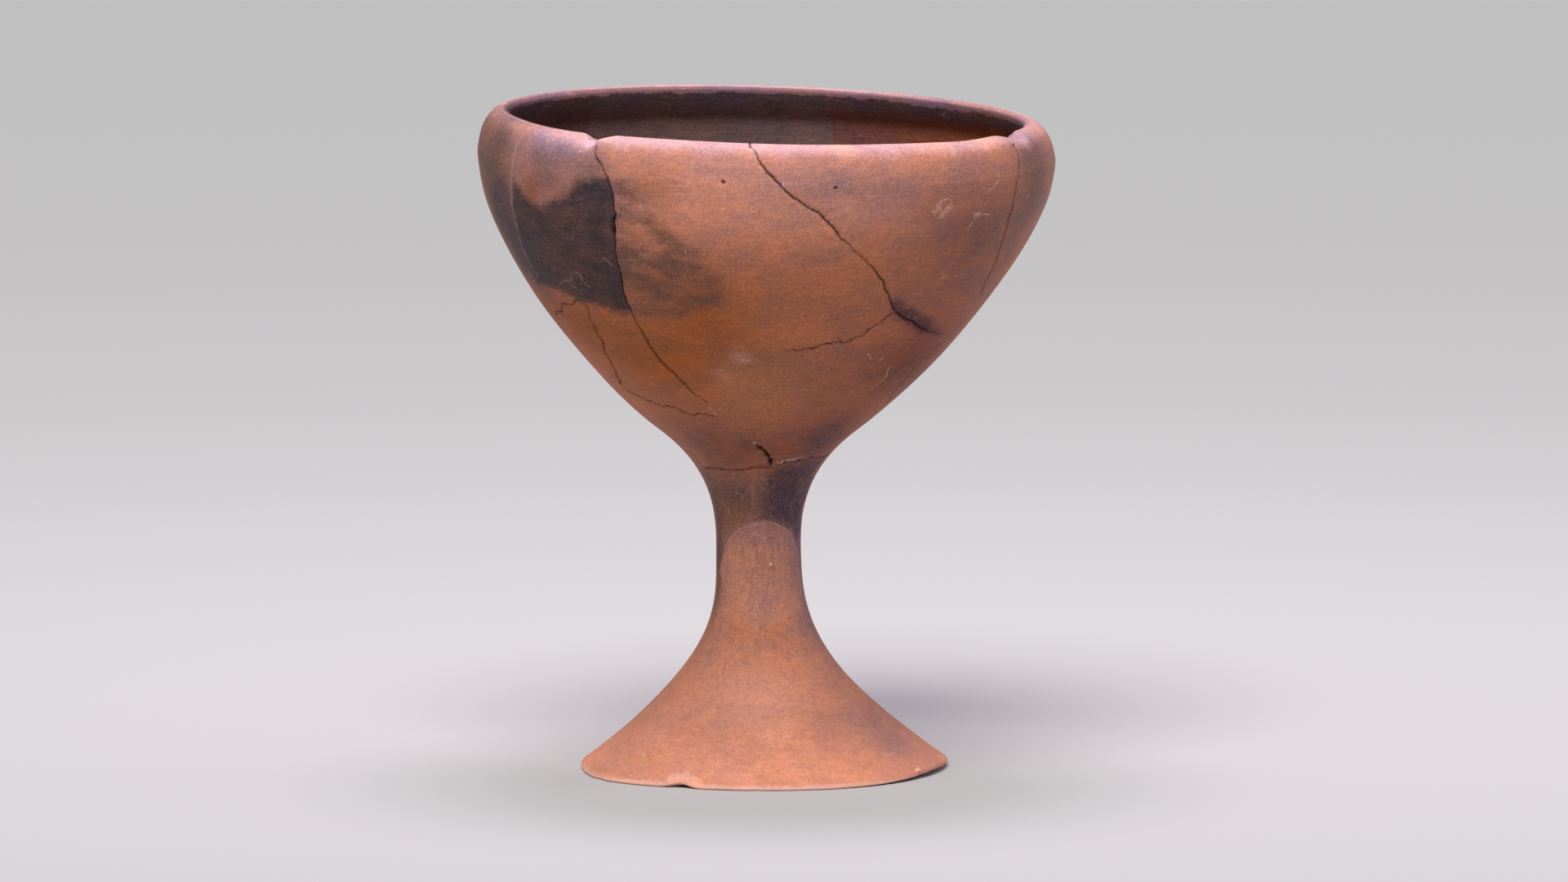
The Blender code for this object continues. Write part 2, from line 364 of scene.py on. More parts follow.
# Broad colour of each zone
BOWL_CLAY = clay_colour(166, 100, 71)
UPPER_CLAY = clay_colour(190, 124, 103)
STEM_CLAY = clay_colour(163, 109, 90)
FOOT_CLAY = clay_colour(175, 113, 89)
FOOT_LOW_CLAY = clay_colour(205, 133, 105)
# inside of the bowl: its own dark clay, darkened further as painted shade
INNER_CLAY_AND_SHADE = clay_colour(103, 62, 54)
UNDER_CLAY = clay_colour(166, 112, 92)
TINTS = (
    # Bowl, from the left to the right
    Tint((604, 215), (14, 24), Tone.SMOKE),
    Tint((610, 180), (8, 8), Tone.BROWN, 0.6),
    Tint((622, 280), (12, 18), Tone.SLATE),
    Tint((641, 322), (9, 10), Tone.SLATE),
    Tint((668, 196), (12, 7), Tone.SLATE, 0.9),
    Tint((650, 236), (4.5, 6.5), Tone.RUST, 0.75, slant=-50),
    Tint((672, 226), (7, 4), Tone.SLATE, 0.6),
    Tint((722, 214), (8, 8), Tone.SMOKE, 0.8),
    Tint((715, 400), (26, 11), Tone.AMBER),
    Tint((668, 374), (9, 7), Tone.AMBER, 0.8),
    Tint((1100, 462), (12, 6), Tone.BROWN, 0.6),
    Tint((800, 440), (22, 12), Tone.AMBER, 0.9),
    Tint((860, 395), (16, 15), Tone.AMBER, 0.8),
    Tint((792, 232), (10, 8), Tone.CLAY, 0.8),
    Tint((796, 350), (12, 8), Tone.BROWN, 0.6),
    Tint((1050, 228), (22, 6), Tone.MAUVE, 0.8),
    Tint((985, 262), (14, 6), Tone.SALMON, 0.5),
    Tint((1060, 330), (16, 12), Tone.TERRACOTTA, 0.5),
    Tint((1195, 290), (25, 26), Tone.BRICK, 0.95),
    Tint((1150, 250), (12, 9), Tone.CLAY, 0.5),
    Tint((1270, 215), (15, 24), Tone.BROWN, 0.9),
    Tint((1120, 440), (24, 15), Tone.OXBLOOD, 0.85),
    Tint((1000, 470), (20, 10), Tone.CLAY, 0.6),
    Tint((928, 492), (11, 11), Tone.TERRACOTTA, 0.8),
    Tint((-86, 189), (32, 20), Tone.BROWN, 0.85, on_photo=False),
    Tint((87, 186), (26, 18), Tone.MAUVE, 0.65, on_photo=False),
    Tint((640, 172), (9, 7), Tone.MAUVE, 0.7),
    Tint((690, 200), (12, 6), Tone.MAUVE, 0.6),
    # painted highlight: lilac along the top of the left sherd's lip
    Tint((690, 170), (15, 4.6), Tone.LILAC, 0.75),
    Tint((905, 437), (3, 2), Tone.PALE, 0.6),
    Tint((888, 460), (3.4, 2.6), Tone.SALMON, 0.6),
    Tint((862, 566), (1.6, 4), Tone.SALMON, 0.6),
    # Root of the bowl and stem
    Tint((934, 540), (9, 7), Tone.BRICK, 0.8),
    Tint((868, 540), (10, 8), Tone.BROWN, 0.8),
    Tint((914, 547), (3, 2.4), Tone.SLATE, 0.6),
    Tint((1012, 535), (12, 9), Tone.PLUM, 0.9),
    # brown of the upper stem: partly its own colour, partly painted shade below the bowl
    Tint((900, 612), (14, 10), Tone.BROWN, 1),
    Tint((884, 625), (4, 12), Tone.BROWN, 0.8),
    Tint((968, 608), (7.5, 9.5), Tone.SLATE, 0.6),
    Tint((976, 650), (3, 9), Tone.SLATE, 0.9),
    Tint((880, 690), (2.6, 22), Tone.UMBER, 0.8),
    Tint((972, 700), (4.2, 20), Tone.MAUVE, 0.9),
    Tint((923, 607), (1, 4.2), Tone.CLAY, 0.7),
    # Foot
    Tint((876, 788), (3.4, 8), Tone.MAUVE, 0.7),
    Tint((992, 762), (3.6, 12), Tone.MAUVE, 0.7),
    # pale clay and a painted highlight in the middle of the foot's front
    Tint((953, 900), (5, 3.4), Tone.PALE, 0.5),
    Tint((925, 780), (14, 9), Tone.TERRACOTTA, 0.8),
    Tint((1085, 900), (13, 8), Tone.MAUVE, 0.75),
    Tint((1050, 932), (8, 2.2), Tone.SALMON, 0.6),
    Tint((780, 930), (14, 5), Tone.SALMON, 0.7),
    Tint((722, 938), (5, 3), Tone.PALE, 0.7),
    Tint((1135, 925), (6, 4), Tone.ROSE, 0.6),
    Tint((800, 900), (12, 7), Tone.ROSE, 0.5),
    Tint((930, 860), (14, 8), Tone.PALE, 0.5),
    # Round the back
    Tint((150, 150), (26, 22), Tone.SMOKE, 0.8, on_photo=False),
    Tint((-150, 165), (30, 16), Tone.CLAY, 0.8, on_photo=False),
    Tint((180, 118), (22, 12), Tone.BRICK, 0.8, on_photo=False),
    Tint((-115, 140), (20, 26), Tone.PLUM, 0.8, on_photo=False),
    Tint((160, 20), (22, 12), Tone.MAUVE, 0.6, on_photo=False),
)
INNER_TINTS = (
    Tint((-122, 178), (22, 30), Tone.PLUM, 0.9, on_photo=False, side=Side.INNER),
    Tint((120, 178), (30, 24), Tone.AMBER, 0.8, on_photo=False, side=Side.INNER),
    Tint((0, 150), (60, 40), Tone.BRICK, 0.7, on_photo=False, side=Side.INNER),
    Tint((180, 120), (50, 22), Tone.SLATE, 0.8, on_photo=False, side=Side.INNER),
)
SCRATCHES = (
    Scratch(((603, 140), (607, 138), (611, 137)), 0.3, 0.95),
    Scratch(((651, 155), (641, 163), (631, 179), (626, 209), (626, 245), (631, 267), (638, 298),
              (651, 327), (659, 339)), 0.5, 0.15),
    Scratch(((867, 497), (871, 502)), 0.28, 0.35),
    Scratch(((875, 506), (877, 509)), 0.28, 0.35),
    Scratch(((922, 541), (926, 545)), 0.3, 0.5),
    # painted highlight: a faint pale line along the edge of the bowl's shadow on the stem
    Scratch(((889, 668), (893, 660), (905, 648), (920, 641), (940, 638), (954, 643), (968, 652)), 0.2, 0.15),
    Scratch(((920, 653), (930, 656)), 0.25, 0.25),
    Scratch(((943, 689), (944, 693)), 0.4, 0.8),
    Scratch(((1122, 944), (1124, 940), (1127, 943)), 0.4, 0.95),
    Scratch(((973, 798), (974, 802)), 0.22, 0.7),
    Scratch(((969, 840), (970, 843)), 0.22, 0.6),
    Scratch(((991, 851), (993, 852)), 0.2, 0.55),
    Scratch(((934, 904), (941, 899), (950, 897)), 0.2, 0.35),
    Scratch(((952, 907), (961, 902), (970, 901)), 0.2, 0.3),
    Scratch(((776, 915), (777, 916)), 0.24, 0.45),
    Scratch(((787, 922), (788, 925)), 0.24, 0.55),
    Scratch(((741, 936), (743, 936)), 0.22, 0.45),
    Scratch(((745, 942), (747, 942)), 0.22, 0.4),
    Scratch(((770, 949), (774, 950)), 0.22, 0.4),
    Scratch(((717, 941), (720, 942)), 0.24, 0.5),
    Scratch(((1092, 921), (1093, 922)), 0.22, 0.55),
    Scratch(((1094, 926), (1095, 926)), 0.2, 0.5),
    Scratch(((1087, 924), (1088, 925)), 0.2, 0.4),
    Scratch(((808, 919), (809, 919)), 0.2, 0.6, True),
    Scratch(((796, 929), (797, 930)), 0.22, 0.6, True),
    Scratch(((638, 239), (656, 266), (670, 288), (697, 325), (721, 342)), 0.22, 0.75, True),
    Scratch(((885, 222), (887, 223)), 0.55, 0.9, True),
    Scratch(((1021, 231), (1024, 229)), 0.5, 0.85, True),
    Scratch(((1140, 262), (1150, 247), (1163, 243), (1168, 252), (1160, 262), (1148, 268)), 0.32, 0.32),
    Scratch(((1144, 262), (1152, 254), (1162, 256)), 0.28, 0.28),
    Scratch(((1211, 233), (1219, 227), (1224, 218), (1222, 211)), 0.26, 0.4),
    Scratch(((1184, 282), (1190, 274), (1198, 262), (1206, 252)), 0.28, 0.34),
    Scratch(((1190, 261), (1200, 262), (1213, 264)), 0.26, 0.3),
    Scratch(((1257, 244), (1262, 236)), 0.26, 0.3),
    Scratch(((1090, 448), (1085, 462), (1066, 478)), 0.26, 0.32),
    Scratch(((1104, 462), (1093, 470), (1084, 478)), 0.22, 0.25),
    Scratch(((1062, 433), (1067, 440)), 0.26, 0.35),
    Scratch(((1074, 443), (1083, 438)), 0.24, 0.32),
    Scratch(((1116, 361), (1130, 360)), 0.28, 0.3),
    Scratch(((1150, 343), (1162, 336)), 0.24, 0.28),
    Scratch(((905, 439), (912, 443), (920, 440)), 0.4, 0.35),
    Scratch(((696, 328), (704, 333), (711, 338)), 0.22, 0.2),
    Scratch(((684, 348), (692, 344), (701, 343)), 0.22, 0.16),
    Scratch(((701, 339), (712, 345), (723, 353)), 0.22, 0.16),
    Scratch(((738, 317), (741, 319)), 0.3, 0.28),
    Scratch(((746, 323), (748, 326)), 0.24, 0.25),
)


def vectors(items: bpy.types.bpy_prop_collection, name: str) -> np.ndarray:
    """Read a vector of 3 from each item of a mesh.

    Args:
        items: Its vertices or normals.
        name: The vector's name.

    Returns:
        The vectors, one a row.
    """
    flat = np.empty(len(items) * 3)
    items.foreach_get(name, flat)
    return flat.reshape(-1, 3)


def store(mesh: Mesh, name: str, values: np.ndarray) -> None:
    """Write a value for each vertex.

    Args:
        mesh: The mesh.
        name: Name of the attribute.
        values: Numbers, vectors of 3 or colours of 4, one a vertex.
    """
    width = 1 if values.ndim == 1 else values.shape[1]
    kind, part = {1: ("FLOAT", "value"), 3: ("FLOAT_VECTOR", "vector"), 4: ("FLOAT_COLOR", "color")}[width]
    layer = mesh.attributes.new(name, kind, "POINT")
    layer.data.foreach_set(part, np.ascontiguousarray(values, dtype=np.float32).ravel())


def linked(name: str, data: bpy.types.ID) -> Thing:
    """Add an object to the scene.

    Args:
        name: Its name.
        data: Its mesh or light.

    Returns:
        The object.
    """
    made = bpy.data.objects.new(name, data)
    bpy.context.scene.collection.objects.link(made)
    return made


def evaluated_mesh(holder: Thing) -> Mesh:
    """Evaluate an object's modifiers into a mesh of its own.

    Args:
        holder: The object.

    Returns:
        The new mesh.
    """
    graph = bpy.context.evaluated_depsgraph_get()
    graph.update()
    return bpy.data.meshes.new_from_object(holder.evaluated_get(graph), depsgraph=graph)


def nearest_gap(points: np.ndarray, targets: np.ndarray) -> tuple[np.ndarray, np.ndarray, np.ndarray]:
    """Find the nearest target of each point.

    Args:
        points: Positions, one a row.
        targets: Positions to measure to, one a row.

    Returns:
        The vector from the nearest target, its length, and that target's number, for each point.
    """
    block = 4000
    number = np.empty(len(points), dtype=int)
    for start in range(0, len(points), block):
        part = points[start:start + block]
        squares = (part ** 2).sum(1)[:, None] + (targets ** 2).sum(1)[None, :] - 2.0 * part @ targets.T
        number[start:start + block] = squares.argmin(axis=1)
    gap = points - targets[number]
    return gap, np.linalg.norm(gap, axis=1), number


class Clay:
    """The fine mesh of the cup: made from the CAD solid, and queried for places on its surface."""

    SMOOTHING_LEVELS = 2
    SHRINK_ROUNDS = 2
    MERGE_WITHIN = 0.01 * MM
    SQUARE_FACES = math.radians(40)
    CRACK_BANDS = ((1.3 * MM, 0.85 * MM), (0.6 * MM, 0.5 * MM))
    OUTSIDE_RADIUS = 400 * MM
    LIP_RADIUS, LIP_DROP, LIP_REACH = 77.5 * MM, 4.5 * MM, 30 * MM
    OVER_LIP = range(50, 191, 14)
    SKIN, THICKEST_WALL = 0.5 * MM, 12 * MM

    def __init__(self, node: Thing, camera: PhotoCamera) -> None:
        """Copy the CAD mesh, smooth it and hold it inside the CAD solid's box.

        Args:
            node: The CAD node that this clay stands for.
            camera: The camera of the photograph.
        """
        self.camera = camera
        self.mesh = self._smoothed(node)
        lowest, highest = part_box("pedestal_cup")
        points = np.clip(vectors(self.mesh.vertices, "co"), np.array(lowest), np.array(highest))
        self.mesh.vertices.foreach_set("co", points.ravel())
        self.mesh.update()
        faces = [tuple(face.vertices) for face in self.mesh.polygons]
        self.tree = BVHTree.FromPolygons([vertex.co for vertex in self.mesh.vertices], faces)

    def _smoothed(self, node: Thing) -> Mesh:
        """Merge the CAD triangles into a net of quads and subdivide it, still through the CAD's corners.

        Args:
            node: The CAD node.

        Returns:
            The fine mesh.
        """
        net = bmesh.new()
        net.from_mesh(node.data)
        net.transform(node.matrix_world)
        bmesh.ops.remove_doubles(net, verts=net.verts, dist=self.MERGE_WITHIN)
        square = {"angle_face_threshold": self.SQUARE_FACES, "angle_shape_threshold": self.SQUARE_FACES}
        bmesh.ops.join_triangles(net, faces=net.faces, **square)
        coarse = bpy.data.meshes.new("clay_coarse")
        net.to_mesh(coarse)
        net.free()
        wanted = vectors(coarse.vertices, "co")
        holder = linked("clay_coarse", coarse)
        smoother = holder.modifiers.new("smoothing", "SUBSURF")
        smoother.levels = smoother.render_levels = self.SMOOTHING_LEVELS
        for _ in range(self.SHRINK_ROUNDS):
            shrunk = wanted - vectors(evaluated_mesh(holder).vertices, "co")[:len(wanted)]
            coarse.vertices.foreach_set("co", (vectors(coarse.vertices, "co") + shrunk).ravel())
            coarse.update()
        fine = evaluated_mesh(holder)
        bpy.data.objects.remove(holder, do_unlink=True)
        return fine

    def at_pixel(self, pixel: Pair) -> Vector | None:
        """Find the place on the clay that a pixel of the photograph shows, or None off the cup."""
        return self.tree.ray_cast(self.camera.place, self.camera.ray(pixel))[0]

    def at_turn(self, azimuth: float, height_mm: float, side: Side) -> Vector | None:
        """Find the place on one skin at an azimuth and height.

        Args:
            azimuth: Degrees from the front towards +X.
            height_mm: Height above the floor in mm.
            side: The outer or the inner skin.

        Returns:
            The place, or None where there is no clay.
        """
        angle = math.radians(azimuth)
        way = Vector((math.sin(angle), -math.cos(angle), 0.0))
        level = Vector((0.0, 0.0, height_mm * MM))
        if side is Side.OUTER:
            return self.tree.ray_cast(level + way * self.OUTSIDE_RADIUS, -way)[0]
        return self.tree.ray_cast(level, way)[0]

    def over_lip(self, place: Vector) -> list[Vector]:
        """Carry a crack from a place on the outer lip over the crest to the inner wall.

        Args:
            place: Where the crack reaches the lip from outside.

        Returns:
            Places over the lip, from the outside inwards.
        """
        away = Vector((place.x, place.y, 0.0)).normalized()
        middle = away * self.LIP_RADIUS + Vector((0.0, 0.0, place.z - self.LIP_DROP))
        turns = [math.radians(angle) for angle in self.OVER_LIP]
        ways = [away * math.cos(turn) + Vector((0.0, 0.0, math.sin(turn))) for turn in turns]
        hits = [self.tree.ray_cast(middle, way, self.LIP_REACH)[0] for way in ways]
        return [hit for hit in hits if hit is not None]

    def through_wall(self, place: Vector) -> Vector | None:
        """Find the inner skin behind a place on the outer one, or None where the clay is solid."""
        nearest, normal, _, _ = self.tree.find_nearest(place)
        return self.tree.ray_cast(nearest - normal * self.SKIN, -normal, self.THICKEST_WALL)[0]

    def refine_near(self, lines: np.ndarray) -> None:
        """Split the faces near the cracks into small triangles.

        Args:
            lines: Points along all cracks, one a row.
        """
        net = bmesh.new()
        net.from_mesh(self.mesh)
        for reach, longest in self.CRACK_BANDS:
            centres = np.array([face.calc_center_median() for face in net.faces])
            close = nearest_gap(centres, lines)[1] < reach
            chosen = [face for face, near in zip(net.faces, close) if near]
            made = bmesh.ops.triangulate(net, faces=chosen)["faces"]
            long_edges = {edge for face in made for edge in face.edges if edge.calc_length() > longest}
            bmesh.ops.subdivide_edges(net, edges=list(long_edges), cuts=1, use_grid_fill=False)
            uneven = [face for face in net.faces if len(face.verts) > 4]
            bmesh.ops.triangulate(net, faces=uneven)
        net.to_mesh(self.mesh)
        net.free()


class Marks:
    """All cracks, stains and scratches as lines that lie on the clay."""

    ROUGHENING_ROUNDS = 5
    FINE_JAG = 0.15
    SEED = 7

    def __init__(self, clay: Clay) -> None:
        """Lay every crack on the clay.

        Args:
            clay: The fine mesh.
        """
        self.clay = clay
        self.random = np.random.default_rng(self.SEED)
        self.outer_routes: dict[str, np.ndarray] = {}
        self.edges: list[tuple[int, int]] = []
        routes, half_widths, depths = [], [], []
        first = 0
        for crack in CRACKS:
            route = self._route(crack)
            taper = self._taper(route) * self._swollen(crack, route)
            routes.append(route)
            half_widths.append(crack.half_width_mm * MM * taper)
            depths.append(crack.depth_mm * MM * taper)
            self.edges.extend((first + k, first + k + 1) for k in range(len(route) - 1))
            first += len(route)
        self.points, self.half_widths, self.depths = map(np.concatenate, (routes, half_widths, depths))

    def _taper(self, route: np.ndarray) -> np.ndarray:
        """Thin a crack towards both ends and vary it in between.

        Args:
            route: Points along the crack.

        Returns:
            A share of the full width at each point.
        """
        share = np.linspace(0.0, 1.0, len(route))
        wave = self.random.uniform(0.0, math.tau, 3)
        uneven = 1.0 + 0.3 * np.sin(share * 31 + wave[0]) + 0.22 * np.sin(share * 73 + wave[1])
        return uneven * (0.35 + 0.65 * smooth(share, 0.0, 0.06) * smooth(share, 1.0, 0.88))

    def _swollen(self, crack: Crack, route: np.ndarray) -> np.ndarray:
        """Widen a crack near the places where it gapes.

        Args:
            crack: The crack.
            route: Points along it.

        Returns:
            A factor on its width at each point.
        """
        factor = np.ones(len(route))
        for swell in crack.swells:
            place = np.array(self.clay.at_pixel(swell.centre))
            gap = np.linalg.norm(route - place, axis=1) / (swell.reach_mm * MM)
            factor += (swell.factor - 1.0) * np.exp(-gap ** 2)
        return factor

    def places(self, photo: Pairs, turns: Pairs = (), side: Side = Side.OUTER) -> list[Vector]:
        """Find the places on the clay of some marks.

        Args:
            photo: Pixels of the photograph.
            turns: Azimuths and heights in mm.
            side: The skin that the turns lie on.

        Returns:
            The places, those from the photograph first.
        """
        found = [self.clay.at_pixel(pixel) for pixel in photo]
        found += [self.clay.at_turn(azimuth, height, side) for azimuth, height in turns]
        return [place for place in found if place is not None]

    def _route(self, crack: Crack) -> np.ndarray:
        """Lay a crack on the outer skin, and over the lip and down the inner skin where it crosses the lip.

        Args:
            crack: The crack.

        Returns:
            Points along it, one a row.
        """
        outer = self.places(crack.photo, crack.turns)
        if not crack.crosses_lip:
            return self.roughen(outer, crack.jag)
        behind = [self.clay.through_wall(place) for place in outer[1:]]
        inner = [place for place in behind if place is not None]
        route = self.roughen(list(reversed(outer)) + self.clay.over_lip(outer[0]) + inner, crack.jag)
        self.outer_routes[crack.name] = route[:(len(outer) - 1) * 2 ** self.ROUGHENING_ROUNDS + 1][::-1]
        return route

    def roughen(self, places: list[Vector], jag: float) -> np.ndarray:
        """Break a route into short uneven steps that stay on the clay.

        Args:
            places: The route.
            jag: Sideways shift of a new point, as a share of the step that it splits.

        Returns:
            The finer route, one point a row.
        """
        route = list(places)
        for turn in range(self.ROUGHENING_ROUNDS):
            finer = [route[0]]
            reach = jag * (1.0 + self.FINE_JAG * turn)
            for before, after in zip(route, route[1:]):
                shift = Vector(self.random.uniform(-1.0, 1.0, 3)) * ((after - before).length * reach)
                finer.append(self.clay.tree.find_nearest((before + after) / 2 + shift)[0])
                finer.append(after)
            route = finer
        return np.array(route)

    def crack_lines(self) -> Thing:
        """Make the object that the relief reads the cracks from.

        Returns:
            A mesh of edges, with a half width and a depth at each point.
        """
        mesh = bpy.data.meshes.new("crack_lines")
        mesh.from_pydata([tuple(point) for point in self.points], self.edges, [])
        store(mesh, "half_width", self.half_widths)
        store(mesh, "depth", self.depths)
        return linked("crack_lines", mesh)


class Graph:
    """Adds nodes to one tree and wires them."""

    def __init__(self, tree: bpy.types.NodeTree) -> None:
        """Work on a node tree."""
        self.nodes = tree.nodes
        self.links = tree.links

    def add(self, kind: str, inputs: dict | None = None, **settings: object) -> bpy.types.Node:
        """Add one node.

        Args:
            kind: The node's type.
            inputs: Values or sockets for its inputs, by name or number.
            **settings: Its settings.

        Returns:
            The node.
        """
        node = self.nodes.new(kind)
        for key, value in settings.items():
            setattr(node, key, value)
        for key, value in (inputs or {}).items():
            self.put(node.inputs[key], value)
        return node

    def put(self, slot: Socket, value: object) -> None:
        """Give an input a value or wire a socket to it.

        Args:
            slot: The input.
            value: A number, a tuple or a socket.
        """
        if isinstance(value, Socket):
            self.links.new(value, slot)
        else:
            slot.default_value = value

    def math(self, operation: str, *values: object) -> Socket:
        """Calculate with numbers or sockets."""
        return self.add("ShaderNodeMath", dict(enumerate(values)), operation=operation).outputs[0]

    def times(self, first: object, *others: object) -> Socket:
        """Multiply numbers or sockets.

        Args:
            first: The first.
            *others: The others.

        Returns:
            The product.
        """
        for other in others:
            first = self.math("MULTIPLY", first, other)
        return first

    def vector(self, operation: str, *values: object) -> Socket:
        """Calculate with vectors or sockets. The result may be a number, as it is for LENGTH."""
        node = self.add("ShaderNodeVectorMath", dict(enumerate(values)), operation=operation)
        return next(out for out in node.outputs if out.enabled)

    def scaled(self, vector: Socket, factor: object) -> Socket:
        """Multiply a vector by a number."""
        return self.add("ShaderNodeVectorMath", {0: vector, "Scale": factor}, operation="SCALE").outputs[0]

    def ramp(self, value: object, low: float, high: float, start: float = 0.0, end: float = 1.0) -> Socket:
        """Map a value smoothly, so that low gives start and high gives end."""
        inputs = {"Value": value, "From Min": low, "From Max": high, "To Min": start, "To Max": end}
        return self.add("ShaderNodeMapRange", inputs, interpolation_type="SMOOTHSTEP").outputs[0]


@dataclass(frozen=True)
class Relief:
    """Geometry Nodes that cut the cracks into the clay and give it the slow unevenness of hand work."""

    seed: float = 3.0
    unevenness: float = 0.16 * MM
    unevenness_scale: float = 70.0
    ripple: float = 0.06 * MM
    ripple_scale: float = 260.0
    sherd_step: float = 0.4 * MM
    nibble: float = 0.5 * MM

    GROOVE_PER_HALF_WIDTH = 2.6
    RIPPLE_SEED_SHIFT = 50.0
    NIBBLE_SCALE = 130.0
    NIBBLE_SPOTS = (0.5, 0.66)
    NIBBLE_BAND = (2.8 * MM, 0.8 * MM)
    NIBBLE_FACING = (0.0, 0.5)
    SHERD_EDGE = (0.2, -0.2)
    SHERD_FADE = (-34.0, -4.0)
    SHERD_RISE = (118.0 * MM, 160.0 * MM)
    STANDING_EDGE = (0.0, 3.0 * MM)

    def sizes(self) -> dict[str, float]:
        """Give the value of each named input."""
        return {name.replace("_", " ").capitalize(): value for name, value in asdict(self).items()}

    def nearest_crack(self, graph: Graph, cracks: Socket) -> tuple[Socket, Socket, Socket, Socket]:
        """Look up the crack nearest to each vertex.

        Args:
            graph: The relief's graph.
            cracks: The object with the crack lines.

        Returns:
            The nearest place on a crack, the distance to it, and the crack's half width and depth there.
        """
        inputs = {"Object": cracks}
        lines = graph.add("GeometryNodeObjectInfo", inputs, transform_space="ORIGINAL").outputs["Geometry"]
        near = graph.add("GeometryNodeProximity", {0: lines}, target_element="EDGES").outputs
        index = graph.add("GeometryNodeSampleNearest", {"Geometry": lines}, domain="POINT").outputs["Index"]
        found = []
        for name in ("half_width", "depth"):
            inputs = {"Geometry": lines, "Value": self.stored(graph, name), "Index": index}
            sample = graph.add("GeometryNodeSampleIndex", inputs, data_type="FLOAT", domain="POINT")
            found.append(sample.outputs["Value"])
        return near["Position"], near["Distance"], *found

    def stored(self, graph: Graph, name: str) -> Socket:
        """Read a number stored at the vertices."""
        return graph.add("GeometryNodeInputNamedAttribute", {"Name": name}, data_type="FLOAT").outputs[0]

    def noise(self, graph: Graph, where: Socket, scale: object, seed: Socket, detail: float) -> Socket:
        """Make a seeded noise pattern from 0 to 1, whose scale is in turns per metre."""
        inputs = {"Vector": where, "Scale": scale, "W": seed, "Detail": detail}
        return graph.add("ShaderNodeTexNoise", inputs, noise_dimensions="4D").outputs[0]

    def tree(self) -> bpy.types.NodeTree:
        """Build the node tree.

        Returns:
            The tree, with named inputs.
        """
        tree = bpy.data.node_groups.new("relief", "GeometryNodeTree")
        kinds = {"Geometry": "Geometry", "Cracks": "Object", "Clay": "Material"}
        kinds.update(dict.fromkeys(self.sizes(), "Float"))
        for name, kind in kinds.items():
            tree.interface.new_socket(name, in_out="INPUT", socket_type=f"NodeSocket{kind}")
        tree.interface.new_socket("Geometry", in_out="OUTPUT", socket_type="NodeSocketGeometry")
        graph = Graph(tree)
        given = graph.add("NodeGroupInput").outputs
        where = graph.add("GeometryNodeInputPosition").outputs[0]
        normal = graph.add("GeometryNodeInputNormal").outputs["Normal"]
        height = graph.add("ShaderNodeSeparateXYZ", {0: where}).outputs["Z"]
        beside, distance, half_width, depth = self.nearest_crack(graph, given["Cracks"])

        share = graph.math("DIVIDE", distance, graph.times(half_width, self.GROOVE_PER_HALF_WIDTH))
        total = graph.times(graph.ramp(share, 0.0, 1.0, 1.0, 0.0), depth, -1.0)
        for shift, size in ((0.0, "Unevenness"), (self.RIPPLE_SEED_SHIFT, "Ripple")):
            seed = graph.math("ADD", given["Seed"], shift)
            pattern = self.noise(graph, where, given[f"{size} scale"], seed, 1.0)
            low = graph.times(graph.math("SUBTRACT", pattern, 0.75), given[size])
            total = graph.math("ADD", total, low)
        total = graph.math("SUBTRACT", total, graph.times(self.stored(graph, "dent"), MM))
        sherd = self.stored(graph, "left_sherd")
        inside = graph.times(graph.ramp(sherd, *self.SHERD_EDGE), graph.ramp(sherd, *self.SHERD_FADE))
        inside = graph.times(inside, graph.ramp(height, *self.SHERD_RISE), given["Sherd step"])
        total = graph.times(graph.math("SUBTRACT", total, inside), graph.ramp(height, *self.STANDING_EDGE))

        away = graph.vector("NORMALIZE", graph.vector("MULTIPLY", where, (1.0, 1.0, 0.0)))
        facing = graph.vector("DOT_PRODUCT", away, normal)
        bites = self.noise(graph, where, self.NIBBLE_SCALE, given["Seed"], 3.0)
        bite = graph.times(graph.ramp(bites, *self.NIBBLE_SPOTS), graph.ramp(height, *self.NIBBLE_BAND))
        bite = graph.times(bite, graph.ramp(facing, *self.NIBBLE_FACING), given["Nibble"], -1.0)
        offset = graph.vector("ADD", graph.scaled(normal, total), graph.scaled(away, bite))

        gap = graph.scaled(graph.vector("SUBTRACT", where, beside), 1.0 / MM)
        shape = given["Geometry"]
        for name, value, kind in (
            ("crack_gap", gap, "FLOAT_VECTOR"),
            ("crack_near", graph.math("DIVIDE", distance, MM), "FLOAT"),
            ("crack_half", graph.math("DIVIDE", half_width, MM), "FLOAT"),
        ):
            inputs = {"Geometry": shape, "Name": name, "Value": value}
            keep = graph.add("GeometryNodeStoreNamedAttribute", inputs, data_type=kind, domain="POINT")
            shape = keep.outputs[0]
        for kind, inputs in (
            ("GeometryNodeSetPosition", {"Offset": offset}),
            ("GeometryNodeSetShadeSmooth", {}),
            ("GeometryNodeRealizeInstances", {}),
            ("GeometryNodeSetMaterial", {"Material": given["Clay"]}),
        ):
            shape = graph.add(kind, {"Geometry": shape, **inputs}).outputs[0]
        graph.add("NodeGroupOutput", {"Geometry": shape})
        return tree

    def apply(self, mesh: Mesh, lines: Thing, clay: Material) -> Mesh:
        """Run the relief over a mesh.

        Args:
            mesh: The smooth mesh.
            lines: The crack lines, which are used up.
            clay: The finish to set.

        Returns:
            The mesh with its relief.
        """
        holder = linked("relief_holder", mesh)
        modifier = holder.modifiers.new("relief", "NODES")
        modifier.node_group = self.tree()
        values = {"Cracks": lines, "Clay": clay, **self.sizes()}
        for item in modifier.node_group.interface.items_tree:
            if item.in_out == "INPUT" and item.name in values:
                modifier[item.identifier] = values[item.name]
        shaped = evaluated_mesh(holder)
        for used in (holder, lines):
            bpy.data.objects.remove(used, do_unlink=True)
        return shaped


